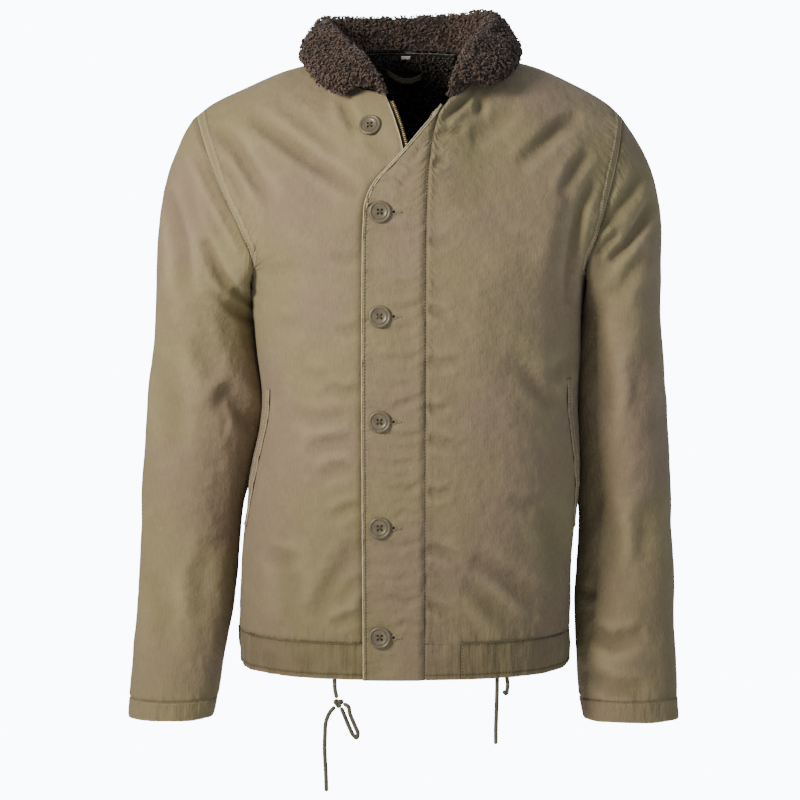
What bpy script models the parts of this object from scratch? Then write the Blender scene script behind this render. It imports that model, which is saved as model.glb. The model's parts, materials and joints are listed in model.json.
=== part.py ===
"""A cotton deck jacket with a thick pile collar, filled out with no wearer.

Run it with: blender --background --python part.py
Metres, Z up. The front faces -Y and the wearer's left is +X. The origin is the middle of the neck
opening at shoulder height, where a wearer or a stand holds the jacket.
"""

import math

import bmesh
import bpy
import numpy as np
from mathutils import Matrix, Vector

# Cloth, seams and trims
CLOTH = 0.0020
SEAM = 0.0004
FLY_CLOTH = 0.0018
FLY_LIFT = 0.0036
FLY_RISE = 0.0080
WELT_CLOTH = 0.0012
TAPE = 0.0010
TAPE_GAP = 0.0007
TAPE_SEWN = 0.35
LINING = 0.0040
LOOP_STAND = 0.0090
PILE_COLLAR = 0.0090
PILE_COLLAR_END = 0.0070
COLLAR_SEAM = 0.0036
COLLAR_GAP = 0.0012
SQUARENESS = 2.5
SHOULDER_ROUND = 1.5

# Heights
HEM = -0.6600
BAND_SEAM = -0.6209
ARMPIT = -0.2366
CUFF_SEAM = -0.6972
SLEEVE_RING = -0.2850

# The body's sections from the hem up
BODY = np.array([
    # height, half width right, half width left, depth in front, depth behind
    (-0.6600, 0.1805, 0.1800, 0.1460, 0.1250),
    (-0.6080, 0.1820, 0.1815, 0.1490, 0.1240),
    (-0.5530, 0.1800, 0.1830, 0.1510, 0.1220),
    (-0.5010, 0.1745, 0.1870, 0.1515, 0.1190),
    (-0.4425, 0.1655, 0.1890, 0.1510, 0.1160),
    (-0.3710, 0.1535, 0.1860, 0.1500, 0.1150),
    (-0.3180, 0.1600, 0.1880, 0.1480, 0.1170),
    (-0.2660, 0.1645, 0.1920, 0.1450, 0.1210),
    (-0.2366, 0.1705, 0.1985, 0.1430, 0.1240),
    (-0.2100, 0.1900, 0.2150, 0.1410, 0.1260),
    (-0.1450, 0.2350, 0.2480, 0.1370, 0.1240),
    (-0.0630, 0.2640, 0.2740, 0.1330, 0.1150),
    (0.0500, 0.2800, 0.2900, 0.1300, 0.1050),
])
FRONT_ROUNDING = 0.20
BACK_ROUNDING = 0.14

# The shoulder line seen from the front, from the right tip over the neck to the left tip
SHOULDER = np.array([
    # across, height
    (-0.2272, -0.0630),
    (-0.2100, -0.0499),
    (-0.1730, -0.0322),
    (-0.1320, -0.0146),
    (-0.0820, 0.0000),
    (-0.0400, 0.0330),
    (0.0000, 0.0450),
    (0.0420, 0.0340),
    (0.0860, 0.0020),
    (0.1350, -0.0080),
    (0.1910, -0.0322),
    (0.2210, -0.0499),
    (0.2370, -0.0650),
])
TIP_RIGHT, TIP_LEFT = SHOULDER[0], SHOULDER[-1]

# Necklines seen from the front, from the centre out to the neck's side
NECK_RIGHT = np.array([
    # across, height
    (-0.0213, -0.0423),
    (-0.0500, -0.0350),
    (-0.0690, -0.0220),
    (-0.0790, -0.0085),
    (-0.0820, 0.0000),
])
NECK_LEFT = np.array([
    # across, height
    (0.0473, -0.0465),
    (0.0640, -0.0370),
    (0.0770, -0.0220),
    (0.0840, -0.0070),
    (0.0860, 0.0020),
])
NECK_BACK_RIGHT = np.array([
    # across, height
    (0.0000, 0.0099),
    (-0.0300, 0.0088),
    (-0.0600, 0.0050),
    (-0.0820, 0.0000),
])
NECK_BACK_LEFT = np.array([
    # across, height
    (0.0000, 0.0099),
    (0.0300, 0.0090),
    (0.0620, 0.0060),
    (0.0860, 0.0020),
])

# Armholes seen from the front, from the shoulder tip down to the underarm
ARMHOLES = {
    # side and facing: across, height
    ("right", "front"): np.array([
        (-0.2272, -0.0630), (-0.2150, -0.0990), (-0.1960, -0.1440), (-0.1760, -0.1860),
        (-0.1640, -0.2160), (-0.1652, -0.2295), (-0.1705, -0.2366),
    ]),
    ("right", "back"): np.array([
        (-0.2272, -0.0630), (-0.2190, -0.1000), (-0.2060, -0.1440), (-0.1880, -0.1860),
        (-0.1730, -0.2160), (-0.1685, -0.2300), (-0.1705, -0.2366),
    ]),
    ("left", "front"): np.array([
        (0.2370, -0.0650), (0.2290, -0.1100), (0.2170, -0.1550), (0.2040, -0.1960),
        (0.1950, -0.2200), (0.1945, -0.2310), (0.1985, -0.2366),
    ]),
    ("left", "back"): np.array([
        (0.2370, -0.0650), (0.2310, -0.1050), (0.2215, -0.1500), (0.2080, -0.1950),
        (0.1990, -0.2200), (0.1970, -0.2310), (0.1985, -0.2366),
    ]),
}
# Which way each sleeve leaves the body
SLEEVE_AXIS = {"right": np.array([-0.951, 0, -0.309]), "left": np.array([0.951, 0, -0.309])}

# The centre front edges, from the hem up
ZIP_EDGE = np.array([
    # height, across
    (-0.6610, 0.0000),
    (-0.1250, 0.0000),
    (-0.1030, -0.0022),
    (-0.0700, -0.0110),
    (-0.0423, -0.0213),
])
FLY_SEAM = np.array([
    # height, across
    (-0.6610, 0.0208),
    (-0.2070, 0.0216),
    (-0.1340, 0.0237),
    (-0.0691, 0.0334),
    (-0.0465, 0.0473),
])
FLY_EDGE = np.array([
    # height, across
    (-0.6610, -0.0440),
    (-0.3630, -0.0452),
    (-0.2000, -0.0448),
    (-0.1650, -0.0432),
    (-0.1450, -0.0370),
    (-0.1028, -0.0013),
    (-0.0545, 0.0385),
])
FLY_TOP = -0.0552
LINING_BOTTOM = -0.1700
LEFT_TAPE_EDGE = np.array([
    # height, across
    (-0.6610, 0.0075),
    (-0.1180, 0.0075),
    (-0.1060, 0.0088),
    (-0.0700, 0.0215),
    (-0.0550, 0.0285),
])
RIGHT_TAPE_OUT = 0.0066
BAND_LEFT_START = 0.0594

# The sleeves' sections from the upper arm down
SLEEVES = {
    "right": np.array([
        # height, centre across, half width, centre in depth, half depth
        (-0.7220, -0.2580, 0.0455, -0.032, 0.0400),
        (-0.7075, -0.2552, 0.0474, -0.030, 0.0415),
        (-0.6520, -0.2478, 0.0503, -0.020, 0.0470),
        (-0.5970, -0.2408, 0.0533, -0.008, 0.0520),
        (-0.4870, -0.2345, 0.0567, 0.010, 0.0590),
        (-0.3765, -0.2212, 0.0628, 0.012, 0.0640),
        (-0.2850, -0.2215, 0.0535, 0.011, 0.0700),
        (-0.2660, -0.2222, 0.0528, 0.010, 0.0720),
    ]),
    "left": np.array([
        # height, centre across, half width, centre in depth, half depth
        (-0.7220, 0.2482, 0.0520, -0.032, 0.0400),
        (-0.7075, 0.2463, 0.0527, -0.030, 0.0420),
        (-0.6520, 0.2428, 0.0552, -0.020, 0.0480),
        (-0.5970, 0.2418, 0.0555, -0.008, 0.0520),
        (-0.4870, 0.2440, 0.0500, 0.010, 0.0640),
        (-0.3765, 0.2405, 0.0480, 0.012, 0.0740),
        (-0.2850, 0.2385, 0.0430, 0.011, 0.0800),
        (-0.2660, 0.2385, 0.0420, 0.010, 0.0820),
    ]),
}
SHOULDER_FULLNESS = {"right": 0.05, "left": 0.35}
CUFF_BOTTOM = {"right": -0.7180, "left": -0.7200}

# Each pocket's stitched edge: its two heights and where it lies round the body, in degrees
WELTS = {
    "right": (-0.510, -0.355, 80, 70),
    "left": (-0.510, -0.345, 80, 68),
}

# The largest folds: a route seen from the front, how wide and how deep
FRONT_FOLDS = [
    # route as (across, height), width, depth
    (((-0.229, -0.102), (-0.204, -0.152), (-0.175, -0.205)), 0.014, 0.0055),
    (((-0.214, -0.199), (-0.199, -0.233), (-0.168, -0.270)), 0.014, 0.0050),
    (((-0.256, -0.150), (-0.242, -0.199), (-0.235, -0.256)), 0.014, 0.0030),
    (((-0.206, -0.386), (-0.190, -0.366), (-0.168, -0.405)), 0.014, 0.0030),
    (((-0.161, -0.068), (-0.131, -0.091), (-0.102, -0.110), (-0.066, -0.136)), 0.016, 0.0035),
    (((-0.201, -0.079), (-0.166, -0.122), (-0.141, -0.158)), 0.016, 0.0025),
    (((-0.051, -0.514), (-0.075, -0.555), (-0.097, -0.596)), 0.016, 0.0020),
    (((0.267, -0.160), (0.252, -0.184), (0.222, -0.218)), 0.014, 0.0050),
    (((0.200, -0.624), (0.227, -0.634), (0.262, -0.624)), 0.014, 0.0030),
    (((0.198, -0.130), (0.184, -0.165), (0.174, -0.215), (0.168, -0.265)), 0.014, 0.0050),
    (((0.188, -0.066), (0.166, -0.076), (0.128, -0.111)), 0.016, 0.0035),
    (((0.105, -0.320), (0.145, -0.365)), 0.015, 0.0025),
    (((0.066, -0.540), (0.108, -0.570), (0.141, -0.600)), 0.016, 0.0025),
]
BACK_FOLDS = [
    # route as (across, height), width, depth
    (((-0.208, -0.105), (-0.180, -0.170), (-0.160, -0.235)), 0.016, 0.0045),
    (((0.214, -0.110), (0.188, -0.175), (0.172, -0.245)), 0.016, 0.0045),
    (((-0.150, -0.420), (-0.070, -0.450), (0.020, -0.440)), 0.018, 0.0030),
    (((0.150, -0.480), (0.060, -0.505), (-0.020, -0.500)), 0.018, 0.0030),
    (((-0.262, -0.190), (-0.235, -0.235), (-0.190, -0.262)), 0.014, 0.0045),
    (((0.262, -0.190), (0.240, -0.235), (0.205, -0.262)), 0.014, 0.0045),
    (((-0.270, -0.400), (-0.230, -0.425), (-0.185, -0.410)), 0.014, 0.0035),
    (((0.275, -0.420), (0.240, -0.445), (0.205, -0.430)), 0.014, 0.0035),
]
FOLD_EASE = 0.016

# The collar's stations, from its right front end round the back to its left front end
COLLAR = [
    # name, share of the neckline, crest (x, y, z), edge (x, y, z), room beside the crest
    ("end right", 0.000, (-0.0310, -0.1040, -0.0290), (-0.0690, -0.0850, -0.0430), 0.0035),
    ("wing right", 0.040, (-0.0430, -0.0890, -0.0110), (-0.0850, -0.0800, -0.0360), 0.0060),
    ("front right", 0.110, (-0.0590, -0.0600, 0.0070), (-0.0985, -0.0560, -0.0230), 0.0068),
    ("side right", 0.235, (-0.0810, -0.0150, 0.0290), (-0.1110, -0.0100, -0.0020), 0.0072),
    ("behind right", 0.345, (-0.0890, 0.0290, 0.0415), (-0.1080, 0.0420, -0.0060), 0.0075),
    ("turn right", 0.410, (-0.0600, 0.0590, 0.0440), (-0.0800, 0.0760, -0.0170), 0.0075),
    ("middle", 0.510, (0.0020, 0.0720, 0.0450), (0.0020, 0.0900, -0.0190), 0.0075),
    ("turn left", 0.620, (0.0640, 0.0610, 0.0490), (0.0860, 0.0780, -0.0140), 0.0075),
    ("behind left", 0.690, (0.0960, 0.0310, 0.0485), (0.1190, 0.0420, -0.0030), 0.0075),
    ("side left", 0.790, (0.0915, -0.0150, 0.0330), (0.1240, -0.0120, 0.0010), 0.0072),
    ("front left", 0.890, (0.0750, -0.0520, 0.0130), (0.1150, -0.0500, -0.0180), 0.0068),
    ("wing left", 0.955, (0.0655, -0.0780, -0.0060), (0.1000, -0.0720, -0.0280), 0.0060),
    ("end left", 1.000, (0.0560, -0.0960, -0.0250), (0.0830, -0.0830, -0.0350), 0.0035),
]

# Buttons: diameter, height and the places of the middles, from the neck down
BUTTON_D = 0.0235
BUTTON_H = 0.0032
BUTTON_RIM = 0.0030
BUTTON_HOLE_D = 0.0021
BUTTON_HOLE_PITCH = 0.0021
BUTTONS = [
    # across, height, how far the cloth under it is lifted
    (-0.0370, -0.0766, 0.0),
    (-0.0263, -0.1675, FLY_LIFT),
    (-0.0263, -0.2766, FLY_LIFT),
    (-0.0264, -0.3862, FLY_LIFT),
    (-0.0264, -0.4974, FLY_LIFT),
    (-0.0265, -0.6133, FLY_LIFT),
]

# The drawcord, hanging from behind the hem
CORD_D = 0.0045
KNOT_AT = (-0.0706, -0.1350, -0.6862)
KNOT_RADII = (0.0052, 0.0046, 0.0047)
CORDS = {
    # each stretch's route as (x, y, z)
    "drawcord_right_top": [
        (-0.0747, -0.1346, -0.6480), (-0.0747, -0.1346, -0.6600), (-0.0742, -0.1348, -0.6720),
        (-0.0722, -0.1350, -0.6812),
    ],
    "drawcord_right_loop": [
        (-0.0679, -0.1350, -0.6907), (-0.0640, -0.1355, -0.7000), (-0.0590, -0.1365, -0.7120),
        (-0.0545, -0.1375, -0.7205), (-0.0515, -0.1395, -0.7225), (-0.0500, -0.1412, -0.7185),
        (-0.0535, -0.1412, -0.7085), (-0.0585, -0.1410, -0.6960), (-0.0602, -0.1405, -0.6888),
        (-0.0655, -0.1380, -0.6862),
    ],
    "drawcord_right_tail": [
        (-0.0744, -0.1350, -0.6898), (-0.0798, -0.1350, -0.6962), (-0.0838, -0.1350, -0.7060),
        (-0.0850, -0.1350, -0.7200), (-0.0853, -0.1350, -0.7380), (-0.0842, -0.1350, -0.7600),
        (-0.0835, -0.1350, -0.7810),
    ],
    "drawcord_left_loop": [
        (0.1075, -0.1228, -0.6480), (0.1080, -0.1228, -0.6600), (0.1088, -0.1230, -0.6710),
        (0.1070, -0.1240, -0.6780), (0.1042, -0.1260, -0.6745),
    ],
    "drawcord_left_tail": [
        (0.0975, -0.1275, -0.6480), (0.0975, -0.1275, -0.6700), (0.0969, -0.1275, -0.6950),
        (0.0963, -0.1275, -0.7150), (0.0963, -0.1275, -0.7320),
    ],
}

# How finely the cloth is divided
COLUMNS = 12
LOWER_ROWS = 17
ARMHOLE_STEPS = 12
SLEEVE_TOP_ROWS = 7
SLEEVE_ROWS = 14


def curve(at, keys, values, held=True):
    """A smooth curve through a short table; a held one never overshoots its rows."""
    keys, values = np.asarray(keys, float), np.asarray(values, float)
    if keys[0] > keys[-1]:
        keys, values = keys[::-1], values[::-1]
    at = np.clip(np.asarray(at, float), keys[0], keys[-1])
    gaps = np.diff(keys).reshape([-1] + [1] * (values.ndim - 1))
    rise = np.diff(values, axis=0) / gaps
    both = rise[1:] * rise[:-1]
    inner = np.where(both > 0, 2 * both / np.where(both > 0, rise[1:] + rise[:-1], 1), 0)
    slope = np.concatenate([rise[:1], inner, rise[-1:]]) if held else np.gradient(values, keys, axis=0)
    row = np.clip(np.searchsorted(keys, at, side="right") - 1, 0, len(keys) - 2)
    step = keys[row + 1] - keys[row]
    t = (at - keys[row]) / step
    if values.ndim > 1:
        step, t = step[..., None], t[..., None]
    start = (2 * t**3 - 3 * t**2 + 1) * values[row] + (t**3 - 2 * t**2 + t) * step * slope[row]
    end = (3 * t**2 - 2 * t**3) * values[row + 1] + (t**3 - t**2) * step * slope[row + 1]
    return start + end


def along(points, shares):
    """Points at shares of a polyline's length, on a smooth curve through it."""
    points = np.asarray(points, float)
    length = np.concatenate([[0], np.cumsum(np.linalg.norm(np.diff(points, axis=0), axis=1))])
    return curve(np.asarray(shares) * length[-1], length, points, held=False)


def unit(vectors):
    """Vectors of length one."""
    vectors = np.asarray(vectors, float)
    return vectors / np.maximum(np.linalg.norm(vectors, axis=-1, keepdims=True), 1e-9)


def ridge(x):
    """The height of the shoulder line at x."""
    return curve(x, SHOULDER[:, 0], SHOULDER[:, 1])


def half_width(x, z):
    """The body's half width at a height, on the side of x."""
    sides = curve(z, BODY[:, 0], BODY[:, 1:3])
    return np.where(np.asarray(x) < 0, sides[..., 0], sides[..., 1])


def depth(z, facing):
    """The body's depth at a height, in front of or behind the side seams."""
    return curve(z, BODY[:, 0], BODY[:, 3 if facing == "front" else 4])


def body_y(x, z, facing):
    """Where the outside of the body lies at (x, z), in front or behind."""
    across = np.clip(1 - np.abs(x / half_width(x, z)) ** SQUARENESS, 0, 1) ** (1 / SQUARENESS)
    rounding = FRONT_ROUNDING if facing == "front" else BACK_ROUNDING
    below = np.clip((ridge(x) - z) / rounding, 0, 1)
    top = (1 - (1 - below) ** SHOULDER_ROUND) ** (1 / SHOULDER_ROUND)
    return depth(z, facing) * across * top * (-1 if facing == "front" else 1)


def body_point(x, z, facing):
    """Points on the outside of the body."""
    x, z = np.broadcast_arrays(np.asarray(x, float), np.asarray(z, float))
    return np.stack([x, body_y(x, z, facing), z], axis=-1)


def body_normal(x, z, facing):
    """The outward direction at points on the body, from steps of a millimetre each way."""
    step = 0.001
    right = body_point(x + step, z, facing) - body_point(x - step, z, facing)
    up = body_point(x, z + step, facing) - body_point(x, z - step, facing)
    return unit(np.cross(right, up)) * (1 if facing == "front" else -1)


def grid_normals(grid, middle, wrap=False):
    """The outward directions of a grid of points round a middle."""
    up = np.gradient(grid, axis=0)
    if wrap:
        across = np.roll(grid, -1, axis=1) - np.roll(grid, 1, axis=1)
    else:
        across = np.gradient(grid, axis=1)
    normals = unit(np.cross(across, up))
    return normals * (1 if (normals * (grid - middle)).sum() > 0 else -1)


def edge_ease(grid, wrap=False):
    """Nought at a panel's edges and one well inside it, by the distance along the cloth."""
    ease = np.ones(grid.shape[:2])
    for axis in (0,) if wrap else (0, 1):
        steps = np.linalg.norm(np.diff(grid, axis=axis), axis=2)
        run = np.cumsum(steps, axis=axis)
        start = np.insert(run, 0, 0, axis=axis)
        last = start.take([-1], axis=axis)
        near = np.clip(np.minimum(start, last - start) / FOLD_EASE, 0, 1)
        ease = ease * near**2 * (3 - 2 * near)
    return ease


def fold_depth(grid, folds):
    """How far the folds press the cloth in, each a trough with a soft ridge on both sides."""
    flat = grid[..., [0, 2]]
    pressed = np.zeros(grid.shape[:2])
    for route, width, deep in folds:
        route = np.array(route)
        steps = np.linalg.norm(np.diff(route, axis=0), axis=1)
        nearest = np.full(pressed.shape, 1e9)
        share = np.zeros(pressed.shape)
        for start, stop, step, before in zip(route, route[1:], steps, np.cumsum(steps) - steps):
            part = np.clip(((flat - start) @ (stop - start)) / step**2, 0, 1)
            away = np.linalg.norm(flat - start - part[..., None] * (stop - start), axis=-1)
            closer = away < nearest
            nearest = np.where(closer, away, nearest)
            share = np.where(closer, (before + part * step) / steps.sum(), share)
        trough = np.exp(-((nearest / width) ** 2))
        lip = 0.45 * np.exp(-(((nearest - 1.9 * width) / (0.9 * width)) ** 2))
        pressed += deep * np.sqrt(4 * share * (1 - share)) * (trough - lip)
    return pressed


def folded(grid, middle, wrap=False):
    """The grid with the largest folds pressed in, in front and behind."""
    normals = grid_normals(grid, middle, wrap)
    ahead = np.clip(-1.8 * normals[..., 1], 0, 1)
    behind = np.clip(1.8 * normals[..., 1], 0, 1)
    pressed = ahead * fold_depth(grid, FRONT_FOLDS) + behind * fold_depth(grid, BACK_FOLDS)
    return grid - normals * (pressed * edge_ease(grid, wrap))[..., None]


def on_grid(grid, row, column):
    """Points or directions between a grid's own, at fractional rows and columns."""
    row, column = np.broadcast_arrays(row, column)
    low = np.clip(np.floor(row).astype(int), 0, grid.shape[0] - 2)
    side = np.clip(np.floor(column).astype(int), 0, grid.shape[1] - 2)
    up, over = (row - low)[..., None], (column - side)[..., None]
    below = grid[low, side] * (1 - over) + grid[low, side + 1] * over
    above = grid[low + 1, side] * (1 - over) + grid[low + 1, side + 1] * over
    return below * (1 - up) + above * up


def part_material(name, colour, roughness, metallic=0.0):
    """A Principled material, made once; colour is linear."""
    if name in bpy.data.materials:
        return bpy.data.materials[name]
    made = bpy.data.materials.new(name)
    made.use_nodes = True
    shader = made.node_tree.nodes["Principled BSDF"]
    shader.inputs["Base Color"].default_value = (*colour, 1)
    shader.inputs["Roughness"].default_value = roughness
    shader.inputs["Metallic"].default_value = metallic
    made.diffuse_color = (*colour, 1)
    return made


def shell_cloth():
    return part_material("shell_cloth", (0.30, 0.25, 0.17), 0.85)


def pile_cloth():
    return part_material("pile_cloth", (0.075, 0.047, 0.035), 0.95)


def lining_cloth():
    return part_material("lining_cloth", (0.02, 0.018, 0.015), 0.95)


def button_plastic():
    return part_material("button_plastic", (0.17, 0.15, 0.10), 0.5)


def zip_brass():
    return part_material("zip_brass", (0.60, 0.42, 0.16), 0.35, 1.0)


def cord_cotton():
    return part_material("cord_cotton", (0.09, 0.085, 0.06), 0.9)


def label_cloth():
    return part_material("label_cloth", (0.75, 0.73, 0.68), 0.8)


def new_object(name, mesh, material, collection="deck_jacket"):
    """An object in its collection with its material."""
    made = bpy.data.objects.new(name, mesh)
    if collection not in bpy.data.collections:
        bpy.context.scene.collection.children.link(bpy.data.collections.new(collection))
    bpy.data.collections[collection].objects.link(made)
    made.data.materials.append(material)
    return made


def cloth_wall(name, grid, normals, thickness, material, wrap=False, keep=None):
    """A closed wall: the outer grid, the same points moved in, and the rim between them."""
    rows, columns = grid.shape[:2]
    moved = np.broadcast_to(thickness, grid.shape[:2])[..., None]
    points = np.concatenate([grid.reshape(-1, 3), (grid - normals * moved).reshape(-1, 3)])
    shift = rows * columns
    outer = []
    for row in range(rows - 1):
        for column in range(columns if wrap else columns - 1):
            after = (column + 1) % columns
            if keep is None or keep[row, column]:
                near, far = row * columns + column, row * columns + after
                outer.append((near, far, far + columns))
                outer.append((near, far + columns, near + columns))
    sides = {}
    for face in outer:
        for start, stop in zip(face, face[1:] + face[:1]):
            sides[(start, stop)] = (stop, start)
    rim = [(stop, start, start + shift, stop + shift)
           for (start, stop), back in sides.items() if back not in sides]
    inner = [tuple(corner + shift for corner in reversed(face)) for face in outer]
    mesh = bpy.data.meshes.new(name)
    mesh.from_pydata([tuple(point) for point in points], [], outer + inner + rim)
    shape = bmesh.new()
    shape.from_mesh(mesh)
    bmesh.ops.delete(shape, geom=[v for v in shape.verts if not v.link_faces], context="VERTS")
    bmesh.ops.recalc_face_normals(shape, faces=shape.faces)
    shape.to_mesh(mesh)
    shape.free()
    return new_object(name, mesh, material)


def column_angles(start_x, half):
    """Angles round the body from a centre front distance to the side seam."""
    first = math.asin((abs(start_x) / half) ** (SQUARENESS / 2))
    last = math.acos((SEAM / 2 / 0.14) ** (SQUARENESS / 2))
    return np.append(np.linspace(first, math.radians(86), COLUMNS), last)


def lower_rows(angles, heights, side, facing):
    """The body below the armpit: a row of columns round it at each height."""
    sign = -1 if side == "right" else 1
    half = half_width(sign, heights)[:, None]
    x = sign * half * np.sin(angles) ** (2 / SQUARENESS)
    y = depth(heights, facing)[:, None] * np.cos(angles) ** (2 / SQUARENESS)
    z = np.broadcast_to(heights[:, None], x.shape)
    return np.stack([x, y * (-1 if facing == "front" else 1), z], axis=-1)


def armhole_points(side, facing):
    """Points evenly spaced round half an armhole, from the underarm to the shoulder tip."""
    flat = along(ARMHOLES[side, facing][::-1], np.linspace(0, 1, 400))
    points = body_point(flat[:, 0], flat[:, 1], facing)
    points[[0, -1], 1] = 0
    length = np.concatenate([[0], np.cumsum(np.linalg.norm(np.diff(points, axis=0), axis=1))])
    even = np.linspace(0, length[-1], ARMHOLE_STEPS + 1)
    return np.stack([np.interp(even, length, points[:, k]) for k in range(3)], axis=1)


def top_line(shares, neckline, side):
    """The upper edge of a panel: its neckline, then the shoulder line out to the tip."""
    tip = TIP_RIGHT if side == "right" else TIP_LEFT
    neck = neckline[-1]
    neck_length = np.linalg.norm(np.diff(neckline, axis=0), axis=1).sum()
    part = neck_length / (neck_length + np.linalg.norm(tip - neck))
    round_neck = along(neckline, np.clip(shares / part, 0, 1))
    x = neck[0] + (tip[0] - neck[0]) * np.clip((shares - part) / (1 - part), 0, 1)
    shoulder = np.stack([x, ridge(x)], axis=-1)
    return np.where((shares < part)[..., None], round_neck, shoulder), shares >= part


def upper_rows(bottom, edge, neckline, side, facing):
    """The body above the armpit: rows that blend from the armpit's up to the shoulder line."""
    arm = armhole_points(side, facing)
    lift = (arm[:, 2] - arm[0, 2]) / (arm[-1, 2] - arm[0, 2])
    start, stop = bottom[0, 0], bottom[-1, 0]
    packed = (bottom[:, 0] - start) / (stop - start)
    even = np.linspace(0, 1, len(bottom))
    blend = (lift**2 * (3 - 2 * lift))[:, None]
    u = packed + (even - packed) * blend
    v = lift[:, None]
    top, on_shoulder = top_line(u, neckline, side)
    edge_z = ARMPIT + v * (neckline[0][1] - ARMPIT)
    left = np.stack([edge(edge_z), edge_z], axis=-1)
    right = arm[:, None, [0, 2]]
    corners = (1 - u)[..., None] * neckline[0] + u[..., None] * arm[-1, [0, 2]]
    flat = v[..., None] * (top - corners) + (1 - u)[..., None] * left + u[..., None] * right
    grid = body_point(flat[..., 0], flat[..., 1], facing)
    grid[:, -1] = arm
    sign = -1 if facing == "front" else 1
    grid[-1, on_shoulder[-1], 1] = sign * SEAM / 2
    grid[[0, -1], -1, 1] = sign * SEAM / 2
    return grid, on_shoulder[-1]


def keep_off(normals, axis, way):
    """Seam directions that lean neither wall over the seam: way is 1 for the body, -1 for a sleeve."""
    lean = np.clip(way * (normals @ axis), None, 0)
    return unit(normals - way * lean[..., None] * axis)


def seam_normals(grid, normals, on_shoulder, side, facing, lower):
    """A half panel's directions, squared up along its side seam, shoulder and armhole."""
    sign = -1 if side == "right" else 1
    normals[:lower + 1, -1] = (sign, 0, 0)
    normals[lower + 1:, -1] = keep_off(normals[lower + 1:, -1], SLEEVE_AXIS[side], 1)
    normals[-1] = unit(normals[-1] + normals[-2])
    x = grid[-1, on_shoulder, 0]
    slope = (ridge(x + 0.002) - ridge(x - 0.002)) / 0.004
    normals[-1, on_shoulder] = unit(np.stack([-slope, 0 * x, np.ones(len(x))], axis=-1))
    return normals


def half_panel(start_x, edge, neckline, side, facing):
    """A half of the body from the waistband to the shoulder, with its outward directions."""
    angles = column_angles(start_x, half_width(-1 if side == "right" else 1, BAND_SEAM))
    heights = np.linspace(BAND_SEAM + SEAM, ARMPIT, LOWER_ROWS + 1)
    low = lower_rows(angles, heights, side, facing)
    low[:, 0, 0] = edge(heights)
    low[:, 0, 1] = body_y(low[:, 0, 0], heights, facing)
    high, on_shoulder = upper_rows(low[-1], edge, neckline, side, facing)
    grid = np.concatenate([low, high[1:]])
    grid = folded(grid, grid * [0, 0, 1])
    normals = grid_normals(grid, grid * [0, 0, 1])
    return grid, seam_normals(grid, normals, on_shoulder, side, facing, LOWER_ROWS), angles


def band_rows(angles, side, facing, edge):
    """The waistband's stretch of a half panel, from the hem to its seam."""
    heights = np.array([HEM, HEM + 0.006, (HEM + BAND_SEAM) / 2, BAND_SEAM])
    grid = lower_rows(angles, heights, side, facing)
    if edge is not None:
        grid[:, 0, 0] = edge(heights)
        grid[:, 0, 1] = body_y(grid[:, 0, 0], heights, facing)
    return grid


def mirror_join(right, left):
    """Two half panels side by side, sharing the middle column."""
    return np.concatenate([right[:, ::-1], left[:, 1:]], axis=1)


def zip_edge(z):
    return curve(z, ZIP_EDGE[:, 0], ZIP_EDGE[:, 1])


def fly_seam(z):
    return curve(z, FLY_SEAM[:, 0], FLY_SEAM[:, 1])


def middle_back(z):
    return np.zeros(np.shape(z))


def squared(grid, normals, side, column=-1):
    """Directions that are level and square at a side seam."""
    normals[:, column] = (-1 if side == "right" else 1, 0, 0)
    return normals


def build_right_front():
    grid, normals, angles = half_panel(0.0, zip_edge, NECK_RIGHT, "right", "front")
    cloth_wall("front_right", grid, normals, CLOTH, shell_cloth())
    build_right_tape(grid, normals)
    build_welt("right", grid, angles)
    band = band_rows(angles, "right", "front", zip_edge)
    normals = squared(band, grid_normals(band, band * [0, 0, 1]), "right")
    cloth_wall("waistband_right", band, normals, CLOTH, shell_cloth())


def build_left_front():
    """The left front, whose strip beside the fly runs on down to the hem."""
    half = half_width(1, BAND_SEAM)
    grid, normals, angles = half_panel(0.0208, fly_seam, NECK_LEFT, "left", "front")
    build_welt("left", grid, angles)
    build_left_tape(grid, normals)
    stop = math.asin((BAND_LEFT_START / half) ** (SQUARENESS / 2))
    start = math.asin(((BAND_LEFT_START + SEAM) / half) ** (SQUARENESS / 2))
    nearest = int(np.argmin(np.abs(angles - stop)))
    angles[nearest] = stop
    strip = band_rows(angles[:nearest + 1], "left", "front", fly_seam)[:-1]
    heights = grid[:LOWER_ROWS, 0, 2]
    grid[:LOWER_ROWS, nearest] = lower_rows(angles[[nearest]], heights, "left", "front")[:, 0]
    rest = np.repeat(grid[:1, nearest + 1:], len(strip), axis=0)
    whole = np.concatenate([np.concatenate([strip, rest], axis=1), grid])
    strip_normals = grid_normals(strip, strip * [0, 0, 1])
    rest_normals = np.repeat(normals[:1, nearest + 1:], len(strip), axis=0)
    normals = np.concatenate([np.concatenate([strip_normals, rest_normals], axis=1), normals])
    keep = np.ones((len(whole) - 1, whole.shape[1] - 1), bool)
    keep[:len(strip), nearest:] = False
    cloth_wall("front_left", whole, normals, CLOTH, shell_cloth(), keep=keep)
    build_fly(whole[:, 0, 2], normals[:, 0])
    band_angles = np.concatenate([[start], angles[nearest + 1:]])
    band = band_rows(band_angles, "left", "front", None)
    normals = squared(band, grid_normals(band, band * [0, 0, 1]), "left")
    cloth_wall("waistband_left", band, normals, CLOTH, shell_cloth())


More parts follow.
